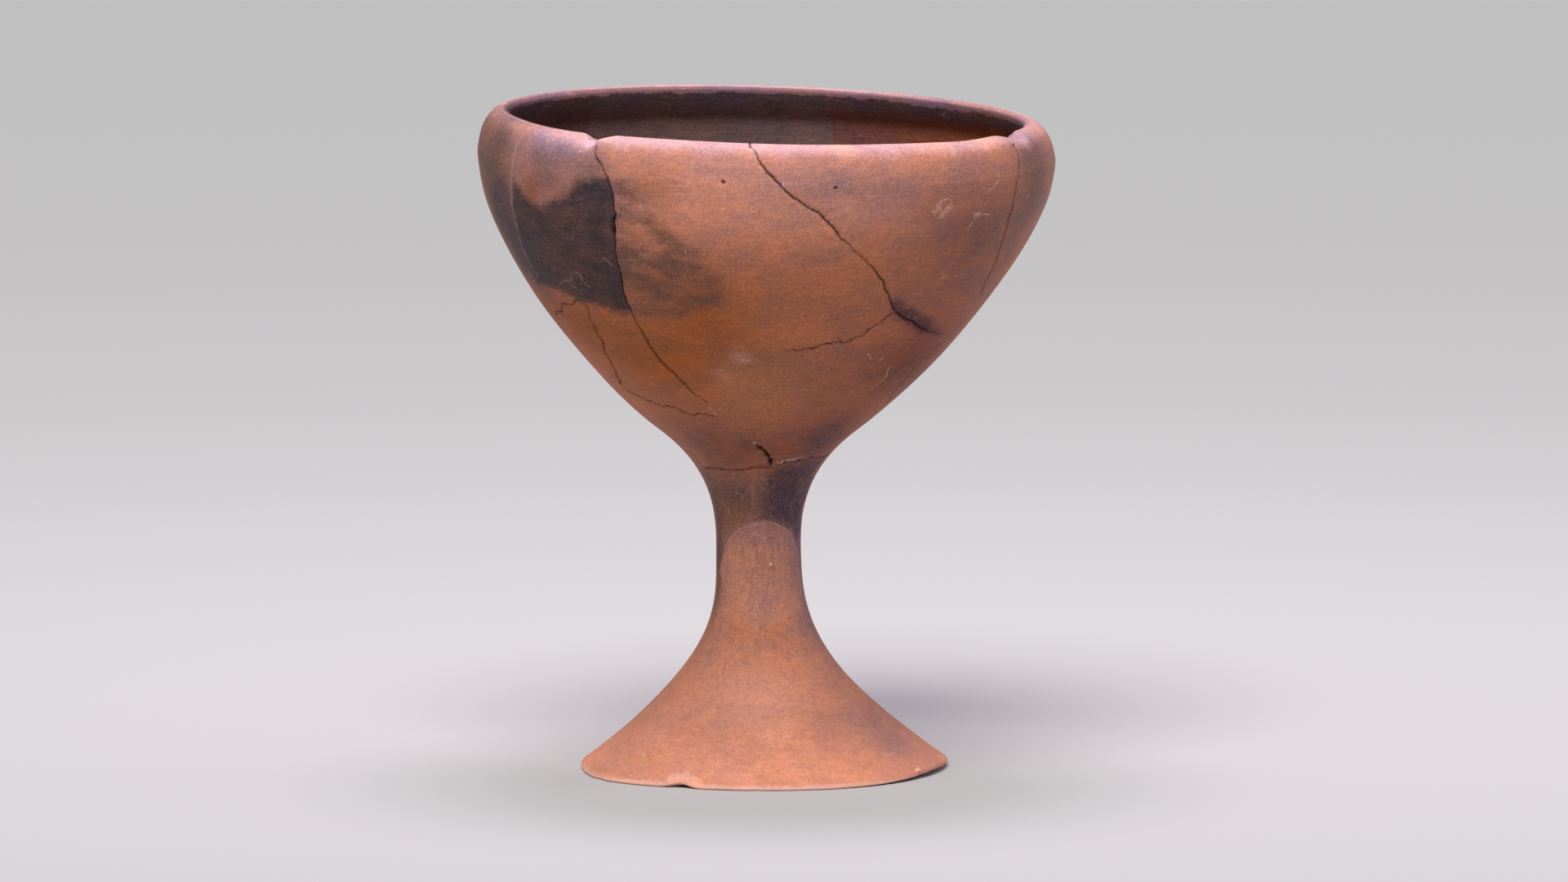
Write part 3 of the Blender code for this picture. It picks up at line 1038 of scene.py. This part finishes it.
class Painter:
    """Works out, for each vertex, the clay's broad colour and how far it lies from each stain and scratch."""

    BOWL_FLOOR, FOOT_TOP = 92 * MM, 50 * MM
    MIDDLE_RADIUS = 60 * MM
    SHOULDER = 86 * MM
    OUTLINE_STEP = 1.0 * MM
    OTHER_SKIN_MM = 40.0
    LIP_BINS = 360
    WIDE_BAND_AZIMUTH, WIDE_BAND_REACH, WIDE_BAND_MM = math.radians(128.0), 0.6, 0.5

    def __init__(self, mesh: Mesh, marks: Marks) -> None:
        """Read the mesh.

        Args:
            mesh: The fine mesh, before its relief.
            marks: The marks on the clay.
        """
        self.mesh = mesh
        self.marks = marks
        self.points = vectors(mesh.vertices, "co")
        self.radius = np.hypot(self.points[:, 0], self.points[:, 1])
        self.azimuth = np.arctan2(self.points[:, 0], -self.points[:, 1])
        self.height = self.points[:, 2]
        facing = vectors(mesh.vertex_normals, "vector")
        outward = (facing[:, :2] * self.points[:, :2]).sum(1) / np.maximum(self.radius, 1 * MM)
        self.in_bowl = smooth(outward, 0.15, -0.25) * (self.height > self.BOWL_FLOOR)
        self.under = np.where(self.height < self.FOOT_TOP, smooth(facing[:, 2], -0.1, -0.5), 0.0)

    def spot(self, tint: Tint) -> np.ndarray:
        """Work out how strongly a soft spot colours each vertex.

        Args:
            tint: The spot.

        Returns:
            A share from 0 to 1 for each vertex.
        """
        if tint.on_photo:
            place = self.marks.clay.at_pixel(tint.centre)
            azimuth, height = math.atan2(place.x, -place.y), place.z
        else:
            azimuth, height = math.radians(tint.centre[0]), tint.centre[1] * MM
        across = wrapped(self.azimuth - azimuth) * self.radius / MM
        down = (self.height - height) / MM
        slant = math.radians(tint.slant)
        along = across * math.cos(slant) + down * math.sin(slant)
        beside = down * math.cos(slant) - across * math.sin(slant)
        share = np.exp(-((along / tint.reach[0]) ** 2) - (beside / tint.reach[1]) ** 2)
        on_side = self.in_bowl if tint.side is Side.INNER else 1.0 - self.in_bowl
        return tint.strength * share * on_side

    def broad_colour(self) -> None:
        """Store the clay's broad colour, from the zones and the soft spots."""
        height_mm = self.height / MM
        layers = [
            (UPPER_CLAY, smooth(height_mm, 150.0, 182.0)),
            (STEM_CLAY, smooth(height_mm, 93.0, 87.0)),
            (FOOT_CLAY, smooth(height_mm, 62.0, 40.0)),
            (FOOT_LOW_CLAY, smooth(height_mm, 18.0, 3.0)),
            *((tint.tone.value, self.spot(tint)) for tint in TINTS),
            # the inside: dark clay and painted shade
            (INNER_CLAY_AND_SHADE, self.in_bowl),
            *((tint.tone.value, self.spot(tint)) for tint in INNER_TINTS),
            (UNDER_CLAY, self.under),
        ]
        colour = np.tile(BOWL_CLAY, (len(self.points), 1))
        for paint, share in layers:
            colour = colour + (np.array(paint) - colour) * share[:, None]
        store(self.mesh, "tint", np.concatenate([colour, np.ones((len(colour), 1))], axis=1))

    def unrolled(self, places: np.ndarray, middle: float) -> tuple[np.ndarray, np.ndarray]:
        """Lay places out flat round an azimuth in radians, by distance round and height."""
        turn = np.arctan2(places[:, 0], -places[:, 1]) - middle
        return wrapped(turn) * self.MIDDLE_RADIUS, places[:, 2]

    def signed_distance(self, outline: np.ndarray) -> np.ndarray:
        """Measure how far each vertex lies from a closed outline, less than 0 inside it.

        Args:
            outline: Places round the patch, one a row.

        Returns:
            Distances in mm.
        """
        closed = np.concatenate([outline, outline[:1]])
        steps = np.linalg.norm(np.diff(closed, axis=0), axis=1)
        along = np.concatenate([[0.0], np.cumsum(steps)])
        wanted = np.arange(0.0, along[-1], self.OUTLINE_STEP)
        dense = np.stack([np.interp(wanted, along, closed[:, k]) for k in range(3)], axis=1)
        _, gap, _ = nearest_gap(self.points, dense)
        middle = math.atan2(outline[:, 0].mean(), -outline[:, 1].mean())
        x, y = self.unrolled(self.points, middle)
        corners_x, corners_y = self.unrolled(closed, middle)
        inside = np.zeros(len(x), dtype=bool)
        for x0, y0, x1, y1 in zip(corners_x, corners_y, corners_x[1:], corners_y[1:]):
            crosses = (y0 > y) != (y1 > y)
            rise = y1 - y0 if y1 != y0 else 1.0
            inside ^= crosses & (x < x0 + (y - y0) * (x1 - x0) / rise)
        return np.where(inside, -gap, gap) / MM

    def outlines(self) -> None:
        """Store the distance from the edge of each stain and of the left sherd, which the notch bounds."""
        for stain in STAINS:
            gap = self.signed_distance(np.array(self.marks.places(stain.photo, stain.turns, stain.side)))
            wrong_side = 1.0 - self.in_bowl if stain.side is Side.INNER else self.in_bowl
            store(self.mesh, stain.name, gap + self.OTHER_SKIN_MM * wrong_side)
        turns, levels = np.array(LEFT_SHERD_CORNERS).T
        turns = np.radians(turns)
        across, forth = self.SHOULDER * np.sin(turns), -self.SHOULDER * np.cos(turns)
        round_it = np.stack([across, forth, levels * MM], axis=1)
        gap = self.signed_distance(np.concatenate([self.marks.outer_routes["notch"], round_it]))
        store(self.mesh, "left_sherd", gap + self.OTHER_SKIN_MM * self.in_bowl)

    def scratches(self) -> None:
        """Store the way to the nearest fine pale mark and the nearest dark one."""
        for name, dark in (("scratch", False), ("pit", True)):
            lines, sizes, strengths = [], [], []
            for scratch in SCRATCHES:
                if scratch.dark is dark:
                    route = self.marks.roughen(self.marks.places(scratch.photo), 0.05)
                    lines.append(route)
                    sizes.extend([scratch.size_mm] * len(route))
                    strengths.extend([scratch.strength] * len(route))
            gap, length, number = nearest_gap(self.points, np.concatenate(lines))
            store(self.mesh, f"{name}_gap", gap / MM)
            store(self.mesh, f"{name}_near", length / MM)
            store(self.mesh, f"{name}_size", np.array(sizes)[number])
            store(self.mesh, f"{name}_strength", np.array(strengths)[number])

    def dents(self) -> None:
        """Store how deep the small chips bite, in mm."""
        depth = np.zeros(len(self.points))
        for dent in DENTS:
            place = np.array(self.marks.clay.at_pixel(dent.centre))
            gap = np.linalg.norm(self.points - place, axis=1) / MM
            depth += dent.depth_mm * smooth(gap, dent.reach_mm, 0.0)
        store(self.mesh, "dent", depth)

    def lip(self) -> None:
        """Store how far each vertex lies below the lip's top, and how strongly the lip's rubbed top and
        painted highlight show there.
        """
        slot = ((self.azimuth / math.tau + 0.5) * self.LIP_BINS).astype(int) % self.LIP_BINS
        top = np.full(self.LIP_BINS, -1.0)
        np.maximum.at(top, slot, self.height)
        turned = wrapped(self.azimuth - self.WIDE_BAND_AZIMUTH) / self.WIDE_BAND_REACH
        wider = self.WIDE_BAND_MM * np.exp(-(turned ** 2)) * self.in_bowl
        store(self.mesh, "below_lip", (top[slot] - self.height) / MM - wider)
        store(self.mesh, "in_bowl", self.in_bowl)
        turns, wear_and_highlight_share = zip(*LIP_WEAR_AND_HIGHLIGHT)
        store(self.mesh, "lip_wear", np.interp(np.degrees(self.azimuth), turns, wear_and_highlight_share, period=360.0))

    def paint(self) -> None:
        """Store everything that the finish reads."""
        self.broad_colour()
        self.outlines()
        self.scratches()
        self.dents()
        self.lip()


class MaterialGraph(Graph):
    """The nodes of one material, whose patterns lie still on the piece."""

    def __init__(self, name: str) -> None:
        """Start a material with no nodes.

        Args:
            name: Its name.
        """
        self.material = bpy.data.materials.new(name)
        self.material.use_nodes = True
        super().__init__(self.material.node_tree)
        self.nodes.clear()

    @cached_property
    def where(self) -> Socket:
        """The place on the piece."""
        return self.add("ShaderNodeTexCoord").outputs["Object"]

    @cached_property
    def height(self) -> Socket:
        """The height above the floor."""
        return self.add("ShaderNodeSeparateXYZ", {0: self.where}).outputs["Z"]

    def surface(self, inputs: dict) -> Material:
        """Finish the material with one shader.

        Args:
            inputs: The shader's inputs.

        Returns:
            The material.
        """
        shader = self.add("ShaderNodeBsdfPrincipled", inputs)
        self.add("ShaderNodeOutputMaterial", {"Surface": shader.outputs[0]})
        return self.material

    def mix(self, under: object, over: object, share: object, blend: str = "MIX") -> Socket:
        """Blend two colours.

        Args:
            under: First colour.
            over: Second colour.
            share: How much of the second.
            blend: How they are blended.

        Returns:
            The colour.
        """
        node = self.add("ShaderNodeMix", data_type="RGBA", blend_type=blend)
        slots = {slot.identifier: slot for slot in node.inputs}
        for name, value in (("Factor_Float", share), ("A_Color", under), ("B_Color", over)):
            self.put(slots[name], (*value, 1.0) if isinstance(value, tuple) else value)
        return next(out for out in node.outputs if out.identifier == "Result_Color")

    def stretched(self, scale: float, stretch: Triple, where: Socket | None = None) -> Socket:
        """Scale a position, or the place on the piece, by a factor of its own in each direction."""
        place = self.where if where is None else where
        return self.vector("MULTIPLY", place, tuple(scale * part for part in stretch))

    def noise(
        self, scale: float, detail: float = 3.0, rough: float = 0.55, stretch: Triple = (1.0, 1.0, 1.0),
        warp: float = 0.0, where: Socket | None = None,
    ) -> Socket:
        """Make a noise pattern.

        Args:
            scale: Turns per metre.
            detail: How many finer layers it has.
            rough: How strong they are.
            stretch: Factors on the three directions.
            warp: How much it is twisted.
            where: The position to read it at, if not the place on the piece.

        Returns:
            The pattern, from 0 to 1.
        """
        place = self.stretched(scale, stretch, where)
        inputs = {"Vector": place, "Scale": 1.0, "Detail": detail, "Roughness": rough, "Distortion": warp}
        return self.add("ShaderNodeTexNoise", inputs).outputs[0]

    def patches(self, low: float, high: float, *noise: object) -> Socket:
        """Make a noise pattern as noise does, and ramp it from low to high."""
        return self.ramp(self.noise(*noise), low, high)

    def attribute(self, name: str, part: str = "Fac") -> Socket:
        """Read a value stored at the vertices, as its Fac, Vector or Color."""
        return self.add("ShaderNodeAttribute", attribute_name=name).outputs[part]

    def brightness(self, colour: Socket) -> Socket:
        """Read how bright a colour is."""
        return self.add("ShaderNodeRGBToBW", {0: colour}).outputs[0]

    def specks_of(self, scale: float, size: float, share: float, stretch: Triple = (1.0, 1.0, 1.0)) -> Socket:
        """Scatter small spots.

        Args:
            scale: Cells per metre.
            size: Radius of a spot, as a share of a cell.
            share: Share of the cells that hold a spot.
            stretch: Factors on the three directions.

        Returns:
            1 on a spot, 0 elsewhere.
        """
        place = self.stretched(scale, stretch)
        cells = self.add("ShaderNodeTexVoronoi", {"Vector": place, "Scale": 1.0})
        spot = self.ramp(cells.outputs["Distance"], size, size * 0.45)
        chance = self.add("ShaderNodeSeparateColor", {0: cells.outputs["Color"]}).outputs[0]
        return self.times(spot, self.math("GREATER_THAN", chance, 1.0 - share))

    def fine_line(self, name: str, slack: float) -> Socket:
        """Measure the mm to a line, exactly where half an edge of the mesh is at most the slack in mm."""
        length = self.vector("LENGTH", self.attribute(f"{name}_gap", "Vector"))
        return self.math("MAXIMUM", length, self.math("SUBTRACT", self.attribute(f"{name}_near"), slack))


@dataclass(frozen=True)
class ClayFinish:
    """Unglazed, low-fired red clay: burnished, rubbed, stained by the fire and cracked, with some painted
    highlight and painted shade.
    """

    crack_dark: Colour = clay_colour(44, 26, 22)
    fire_black: Colour = clay_colour(52, 42, 44)
    fire_grey: Colour = clay_colour(99, 68, 53)
    smudge: Colour = clay_colour(53, 28, 42)
    pale: Colour = clay_colour(222, 172, 150)
    dust: Colour = clay_colour(160, 126, 128)
    inner_lip: Colour = clay_colour(138, 100, 104)
    # painted highlight: bright lilac on the left sherd's broken face at the notch
    broken: Colour = clay_colour(206, 172, 190)
    stem_dark: Colour = clay_colour(68, 52, 60)
    scar: Colour = clay_colour(222, 156, 132)
    plaster: Colour = clay_colour(206, 172, 170)
    # pale rubbed lip, which also paints the highlight along the lip's top and crest
    worn: Colour = clay_colour(222, 170, 168)
    foot_worn: Colour = clay_colour(240, 188, 172)
    chalk: Colour = clay_colour(226, 186, 174)
    sand: Colour = clay_colour(196, 132, 84)
    # colour painted on the lit stem below the bowl's shadow
    stem_orange: Colour = clay_colour(171, 115, 96)
    # painted shade: colour of the dark band on the inner wall just below the lip
    under_lip: Colour = clay_colour(69, 53, 56)
    soot: Colour = clay_colour(96, 74, 72)
    cool: Colour = (0.87, 0.97, 1.18)
    warm: Colour = (1.14, 1.13, 1.06)
    foot_cast: Colour = (1.02, 1.05, 1.1)
    roughness: float = 0.6
    gloss: float = 0.15
    bump_depth: float = 0.15 * MM
    bend: float = 9.0 * MM

    def create(self) -> Material:
        """Build the material."""
        return ClayCoats(self).build()


class ClayCoats(MaterialGraph):
    """The nodes of the clay's finish: one colour, over which coat after coat is laid."""

    STEM, SLENDER, FOOT = (100.0 * MM, 86.0 * MM), (52.0 * MM, 66.0 * MM), (40.0 * MM, 24.0 * MM)
    STREAKED_STEM, STREAKED_FOOT = (96.0 * MM, 86.0 * MM), (34.0 * MM, 14.0 * MM)
    DOTTED_BELOW, DOTTED_ABOVE = (97.0 * MM, 88.0 * MM), (34.0 * MM, 46.0 * MM)
    RUBBED_EDGE, RUBBED_WANDER = (1.9 * MM, 0.8 * MM), 2.4 * MM

    def __init__(self, look: ClayFinish) -> None:
        """Start from the broad colour stored at the vertices.

        Args:
            look: The finish's colours.
        """
        super().__init__("fired_clay_finish")
        self.look = look
        self.colour = self.attribute("tint", "Color")
        self.inside = self.attribute("in_bowl")
        self.sherd = self.attribute("left_sherd")
        self.fine = self.noise(620.0, 4.0, 0.7)

    def lay(self, *coats: tuple[object, object]) -> None:
        """Lay colours over the clay, one after the other.

        Args:
            *coats: The colour and the share of each.
        """
        for paint, share in coats:
            self.colour = self.mix(self.colour, paint, share)

    def shifted(self, value: Socket, pattern: Socket, wander: float) -> Socket:
        """Move a value up and down by a noise pattern."""
        return self.math("ADD", value, self.times(self.math("SUBTRACT", pattern, 0.5), wander))

    def edge(self, name: str, pattern: Socket, wander: float, softness: float) -> Socket:
        """Turn the mm from a stain's outline into a strength, with a noisy edge that fades over some mm."""
        gap = self.shifted(self.attribute(name), pattern, wander)
        return self.ramp(gap, softness / 2, -softness / 2)

    def build(self) -> Material:
        """Lay all the coats and shade the clay.

        Returns:
            The material.
        """
        look, fine = self.look, self.fine
        streaks = self.streaks()
        grain = self.noise(2900.0, 1.0, 0.8)
        self.stains()
        self.lip()
        self.mottle(streaks, grain)
        dark = self.specks()
        sandy = self.times(self.edge("sand", fine, 8.0, 9.0), self.patches(0.44, 0.6, 1700.0, 1.0, 0.8))
        rubbed = self.ramp(self.shifted(self.height, fine, self.RUBBED_WANDER), *self.RUBBED_EDGE)
        self.lay((look.sand, self.times(sandy, 0.45)), (look.foot_worn, self.times(rubbed, 0.65)))
        self.marks()
        relief = self.times(streaks, 0.6)
        for pattern, share in ((fine, 0.55), (grain, 0.4), (sandy, 0.5), (dark, -0.9)):
            relief = self.math("MULTIPLY_ADD", pattern, share, relief)
        bump = self.add("ShaderNodeBump", {"Height": relief, "Strength": 1.0, "Distance": look.bump_depth})
        rough = self.ramp(fine, 0.2, 0.8, look.roughness - 0.08, look.roughness + 0.12)
        inputs = {"Base Color": self.colour, "Roughness": rough, "Normal": bump.outputs[0]}
        return self.surface({**inputs, "Specular IOR Level": look.gloss})

    def streaks(self) -> Socket:
        """Make the marks of burnishing: level round the bowl, upright on the stem, running out on the foot.

        Returns:
            The pattern, from 0 to 1.
        """
        inputs = {"Vector": self.where, "Scale": 45.0, "Detail": 1.0}
        bend = self.add("ShaderNodeTexNoise", inputs).outputs["Color"]
        bent = self.scaled(self.vector("SUBTRACT", bend, (0.5, 0.5, 0.5)), self.look.bend)
        place = self.vector("ADD", self.where, bent)
        pattern = self.noise(150.0, 4.0, 0.66, (1.0, 1.0, 8.0), where=place)
        upright = self.noise(420.0, 4.0, 0.7, (1.6, 1.6, 0.3), where=place)
        around = self.noise(160.0, 4.0, 0.66, (1.0, 1.0, 3.4), where=place)
        for band, other in ((self.STREAKED_STEM, upright), (self.STREAKED_FOOT, around)):
            inputs = {0: self.ramp(self.height, *band), 2: pattern, 3: other}
            pattern = self.add("ShaderNodeMix", inputs).outputs[0]
        return pattern

    def mottle(self, streaks: Socket, grain: Socket) -> None:
        """Vary the colour's warmth over the cup, and its brightness with the grain.

        Args:
            streaks: The marks of burnishing.
            grain: The finest grain.
        """
        look = self.look
        on_foot = self.ramp(self.height, *self.FOOT)
        broad = self.patches(0.32, 0.68, 52.0, 3.0, 0.6, (1.0, 1.0, 2.0), 0.6)
        warmth = self.mix(self.mix(look.cool, look.warm, broad), look.foot_cast, self.times(on_foot, 0.4))
        self.colour = self.mix(self.colour, warmth, 1.0, "MULTIPLY")
        light = self.brightness(self.colour)
        strong = self.ramp(light, 0.02, 0.16, 0.6, 0.27)
        for place in (self.inside, on_foot):
            strong = self.times(strong, self.ramp(place, 0.0, 1.0, 1.0, 0.6))
        slender = self.times(self.ramp(self.height, *self.STEM), self.ramp(self.height, *self.SLENDER), 0.07)
        stroke = self.math("ADD", self.ramp(light, 0.02, 0.16, 0.2, 0.09), slender)
        for pattern, size in ((streaks, stroke), (self.fine, 0.11), (grain, strong)):
            level = self.math("MULTIPLY_ADD", self.ramp(pattern, 0.28, 0.72, -1.0, 1.0), size, 1.0)
            self.colour = self.vector("MULTIPLY", self.colour, level)

    def specks(self) -> Socket:
        """Scatter pale grit, pale burnishing dashes and dark pores.

        Returns:
            How much of a pore each place is.
        """
        look = self.look
        bands = (self.DOTTED_BELOW, self.DOTTED_ABOVE)
        on_stem = self.times(*(self.ramp(self.height, *band) for band in bands))
        patchy = self.patches(0.42, 0.62, 70.0, 2.0, 0.5)
        few_inside = self.ramp(self.inside, 0.0, 1.0, 1.0, 0.15)
        grit = self.specks_of(1250.0, 0.34, 0.2, (1.0, 1.0, 1.3))
        dashes = self.patches(0.63, 0.72, 700.0, 2.0, 0.6, (0.5, 0.5, 2.2), 1.2)
        upright = self.patches(0.6, 0.72, 900.0, 2.0, 0.65, (1.0, 1.0, 0.28), 0.8)
        dark = self.specks_of(560.0, 0.17, 0.045)
        self.lay(
            (self.mix(look.dust, look.pale, self.ramp(self.brightness(self.colour), 0.03, 0.14)),
             self.times(grit, self.math("MAXIMUM", patchy, on_stem), few_inside, 0.36)),
            (look.pale, self.times(dashes, patchy, 0.26)),
            (look.dust, self.times(upright, on_stem, 0.42)),
            (look.crack_dark, self.times(dark, 0.6)),
        )
        return dark

    def stains(self) -> None:
        """Lay the fire clouds, the smudge, the painted light on the stem below the bowl's shadow, the plaster
        and the soot inside.
        """
        look = self.look
        torn = self.noise(130.0, 5.0, 0.68, (1.0, 1.0, 1.6))
        left = self.ramp(self.sherd, 0.25, -0.25)
        right = self.math("SUBTRACT", 1.0, left)
        blotchy = self.patches(0.34, 0.62, 75.0, 4.0, 0.6, (1.0, 1.0, 2.2))
        uneven = self.ramp(self.noise(110.0, 4.0, 0.65, (1.0, 1.0, 1.8)), 0.25, 0.75, 0.86, 1.0)
        broken = self.patches(0.42, 0.58, 900.0, 2.0, 0.7)
        for name, paint, wander, softness, strength, limits in (
            ("grey_cloud", look.fire_grey, 12.0, 8.0, 0.75, (right, blotchy)),
            ("fire_cloud", look.fire_black, 6.0, 4.5, 0.97, (left, uneven)),
            ("left_dark", look.fire_black, 5.0, 7.0, 0.4, (uneven,)),
            ("smudge", look.smudge, 6.0, 5.0, 0.88, ()),
            ("stem_dark", look.stem_dark, 7.0, 8.0, 0.86, (uneven,)),
            # painted light on the stem below the bowl's shadow
            ("stem_pale", look.stem_orange, 1.4, 0.9, 0.62, ()),
            ("plaster", look.plaster, 1.6, 0.5, 0.75, (broken,)),
            ("foot_scar", look.scar, 1.6, 1.8, 0.9, ()),
            ("soot", look.soot, 4.0, 1.2, 0.85, ()),
        ):
            self.lay((paint, self.times(self.edge(name, torn, wander, softness), strength, *limits)))

    def lip(self) -> None:
        """Lay the paler top of the lip, part rubbing and part painted highlight, a painted highlight along
        its crest, and the painted shade below it inside.
        """
        look, inside = self.look, self.inside
        exact = self.attribute("below_lip")
        below = self.shifted(exact, self.noise(150.0, 4.0, 0.68), 4.0)
        wear_and_highlight_share = self.attribute("lip_wear")
        # the paler outer lip: partly rubbing, partly painted highlight
        outer = self.times(self.ramp(below, 4.2, 0.2), self.math("SUBTRACT", 1.0, inside), wear_and_highlight_share, 0.85)
        # painted highlight: a bright line along the lip's crest
        crest = self.times(self.ramp(exact, 0.6, 0.2), wear_and_highlight_share, 0.65)
        inner = self.times(self.ramp(below, 2.6, 2.0), inside, self.ramp(wear_and_highlight_share, 0.15, 0.42))
        face = self.times(self.ramp(self.sherd, -5.0, -2.0), self.ramp(self.sherd, 0.3, -0.1))
        self.lay(
            # painted shade: darkens the inner wall below the lip, where the lip's overhang would shade it
            (look.under_lip, self.times(self.ramp(below, 9.0, 4.5), inside, 0.85)),
            (look.inner_lip, self.times(inner, 0.85)),
            (look.worn, self.math("MAXIMUM", outer, crest)),
            # painted highlight on the left sherd's broken face at the notch
            (look.broken, self.times(face, self.ramp(exact, 1.9, 0.9), 0.85)),
        )

    def marks(self) -> None:
        """Lay the scratches and pits, the grime beside the cracks and the cracks."""
        look = self.look
        ragged = self.ramp(self.noise(1100.0, 2.0, 0.7), 0.4, 0.56, 0.25, 1.2)
        for name, paint, limits in (("scratch", look.chalk, (ragged,)), ("pit", look.crack_dark, ())):
            gap = self.math("DIVIDE", self.fine_line(name, 0.9), self.attribute(f"{name}_size"))
            strength = self.attribute(f"{name}_strength")
            self.lay((paint, self.times(self.ramp(gap, 1.5, 0.5), strength, *limits)))
        gap = self.fine_line("crack", 0.4)
        half = self.attribute("crack_half")
        grime = self.times(self.ramp(self.math("SUBTRACT", gap, half), 0.7, 0.0), 0.25)
        line = self.ramp(self.math("DIVIDE", gap, half), 1.25, 0.6)
        self.lay((look.crack_dark, grime), (look.crack_dark, line))


class Shine(Enum):
    """How a light shines: from a disc near by, or evenly from far off."""

    DISC = "AREA"
    FAR = "SUN"


@dataclass(frozen=True)
class Lamp:
    """One soft light. Its spread is a disc's width, or the degrees over which a far light spreads."""

    name: str
    place: Triple
    spread: float
    strength: float
    colour: Colour
    aim: Triple = (0.0, 0.0, 0.12)
    shine: Shine = Shine.DISC

    def create(self) -> None:
        """Add the light and turn it to its aim."""
        data = bpy.data.lights.new(self.name, self.shine.value)
        if self.shine is Shine.DISC:
            data.shape = "DISK"
            data.size = self.spread
        else:
            data.angle = math.radians(self.spread)
        data.energy = self.strength
        data.color = self.colour
        lamp = linked(self.name, data)
        lamp.location = self.place
        lamp.rotation_euler = (Vector(self.aim) - Vector(self.place)).to_track_quat("-Z", "Y").to_euler()


@dataclass(frozen=True)
class Studio:
    """A plain pale floor, a pale surrounding and soft lights."""

    floor_size: float = 60.0
    floor_colour: Colour = (0.5, 0.5, 0.505)
    floor_roughness: float = 0.9
    surrounding: Colour = (0.93, 0.95, 1.0)
    surrounding_strength: float = 0.34
    lamps: tuple[Lamp, ...] = (
        Lamp("key", (-0.3, -1.55, 2.1), 34.0, 2.9, (1.0, 0.97, 0.94), (0.0, 0.0, 0.0), Shine.FAR),
        Lamp("left", (-0.9, 0.12, 0.34), 0.5, 0.35, (0.86, 0.82, 1.0)),
        Lamp("right", (0.9, 0.12, 0.34), 0.5, 1.15, (0.92, 0.82, 1.0)),
        Lamp("top", (0.0, 0.2, 0.95), 0.4, 4.2, (1.0, 0.86, 0.98)),
    )

    def create(self) -> None:
        """Add the floor, the surrounding and the lights."""
        half = self.floor_size / 2
        mesh = bpy.data.meshes.new("floor")
        corners = [(-half, -half, 0.0), (half, -half, 0.0), (half, half, 0.0), (-half, half, 0.0)]
        mesh.from_pydata(corners, [], [(0, 1, 2, 3)])
        inputs = {"Base Color": (*self.floor_colour, 1.0), "Roughness": self.floor_roughness}
        mesh.materials.append(MaterialGraph("pale_floor").surface(inputs))
        linked("floor", mesh)
        world = bpy.data.worlds.new("surrounding")
        world.use_nodes = True
        sky = world.node_tree.nodes["Background"]
        sky.inputs["Color"].default_value = (*self.surrounding, 1.0)
        sky.inputs["Strength"].default_value = self.surrounding_strength
        bpy.context.scene.world = world
        for lamp in self.lamps:
            lamp.create()
        bpy.context.scene.view_settings.view_transform = "Standard"


@dataclass
class Cup:
    """The whole cup: one body of fired clay, mended from its sherds."""

    node: Thing
    camera: PhotoCamera
    finish: ClayFinish = ClayFinish()
    relief: Relief = Relief()

    def build(self) -> Thing:
        """Make the visible cup, hide the CAD node that it stands for and attach the cup to the root body.

        Returns:
            The cup.
        """
        clay = Clay(self.node, self.camera)
        marks = Marks(clay)
        lines = marks.crack_lines()
        clay.refine_near(marks.points)
        Painter(clay.mesh, marks).paint()
        cup = linked("cup", self.relief.apply(clay.mesh, lines, self.finish.create()))
        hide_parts("pedestal_cup")
        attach(cup, "root")
        return cup


def main() -> None:
    """Build the cup in its studio and report what was made."""
    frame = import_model()
    camera = PhotoCamera()
    camera.create()
    cup = Cup(frame["nodes"]["pedestal_cup"], camera).build()
    Studio().create()
    triangles = sum(len(face.vertices) - 2 for face in cup.data.polygons)
    LOG.info("cup: %d triangles", triangles)


if __name__ == "__main__":
    logging.basicConfig(level=logging.INFO, format="%(name)s: %(message)s")
    main()
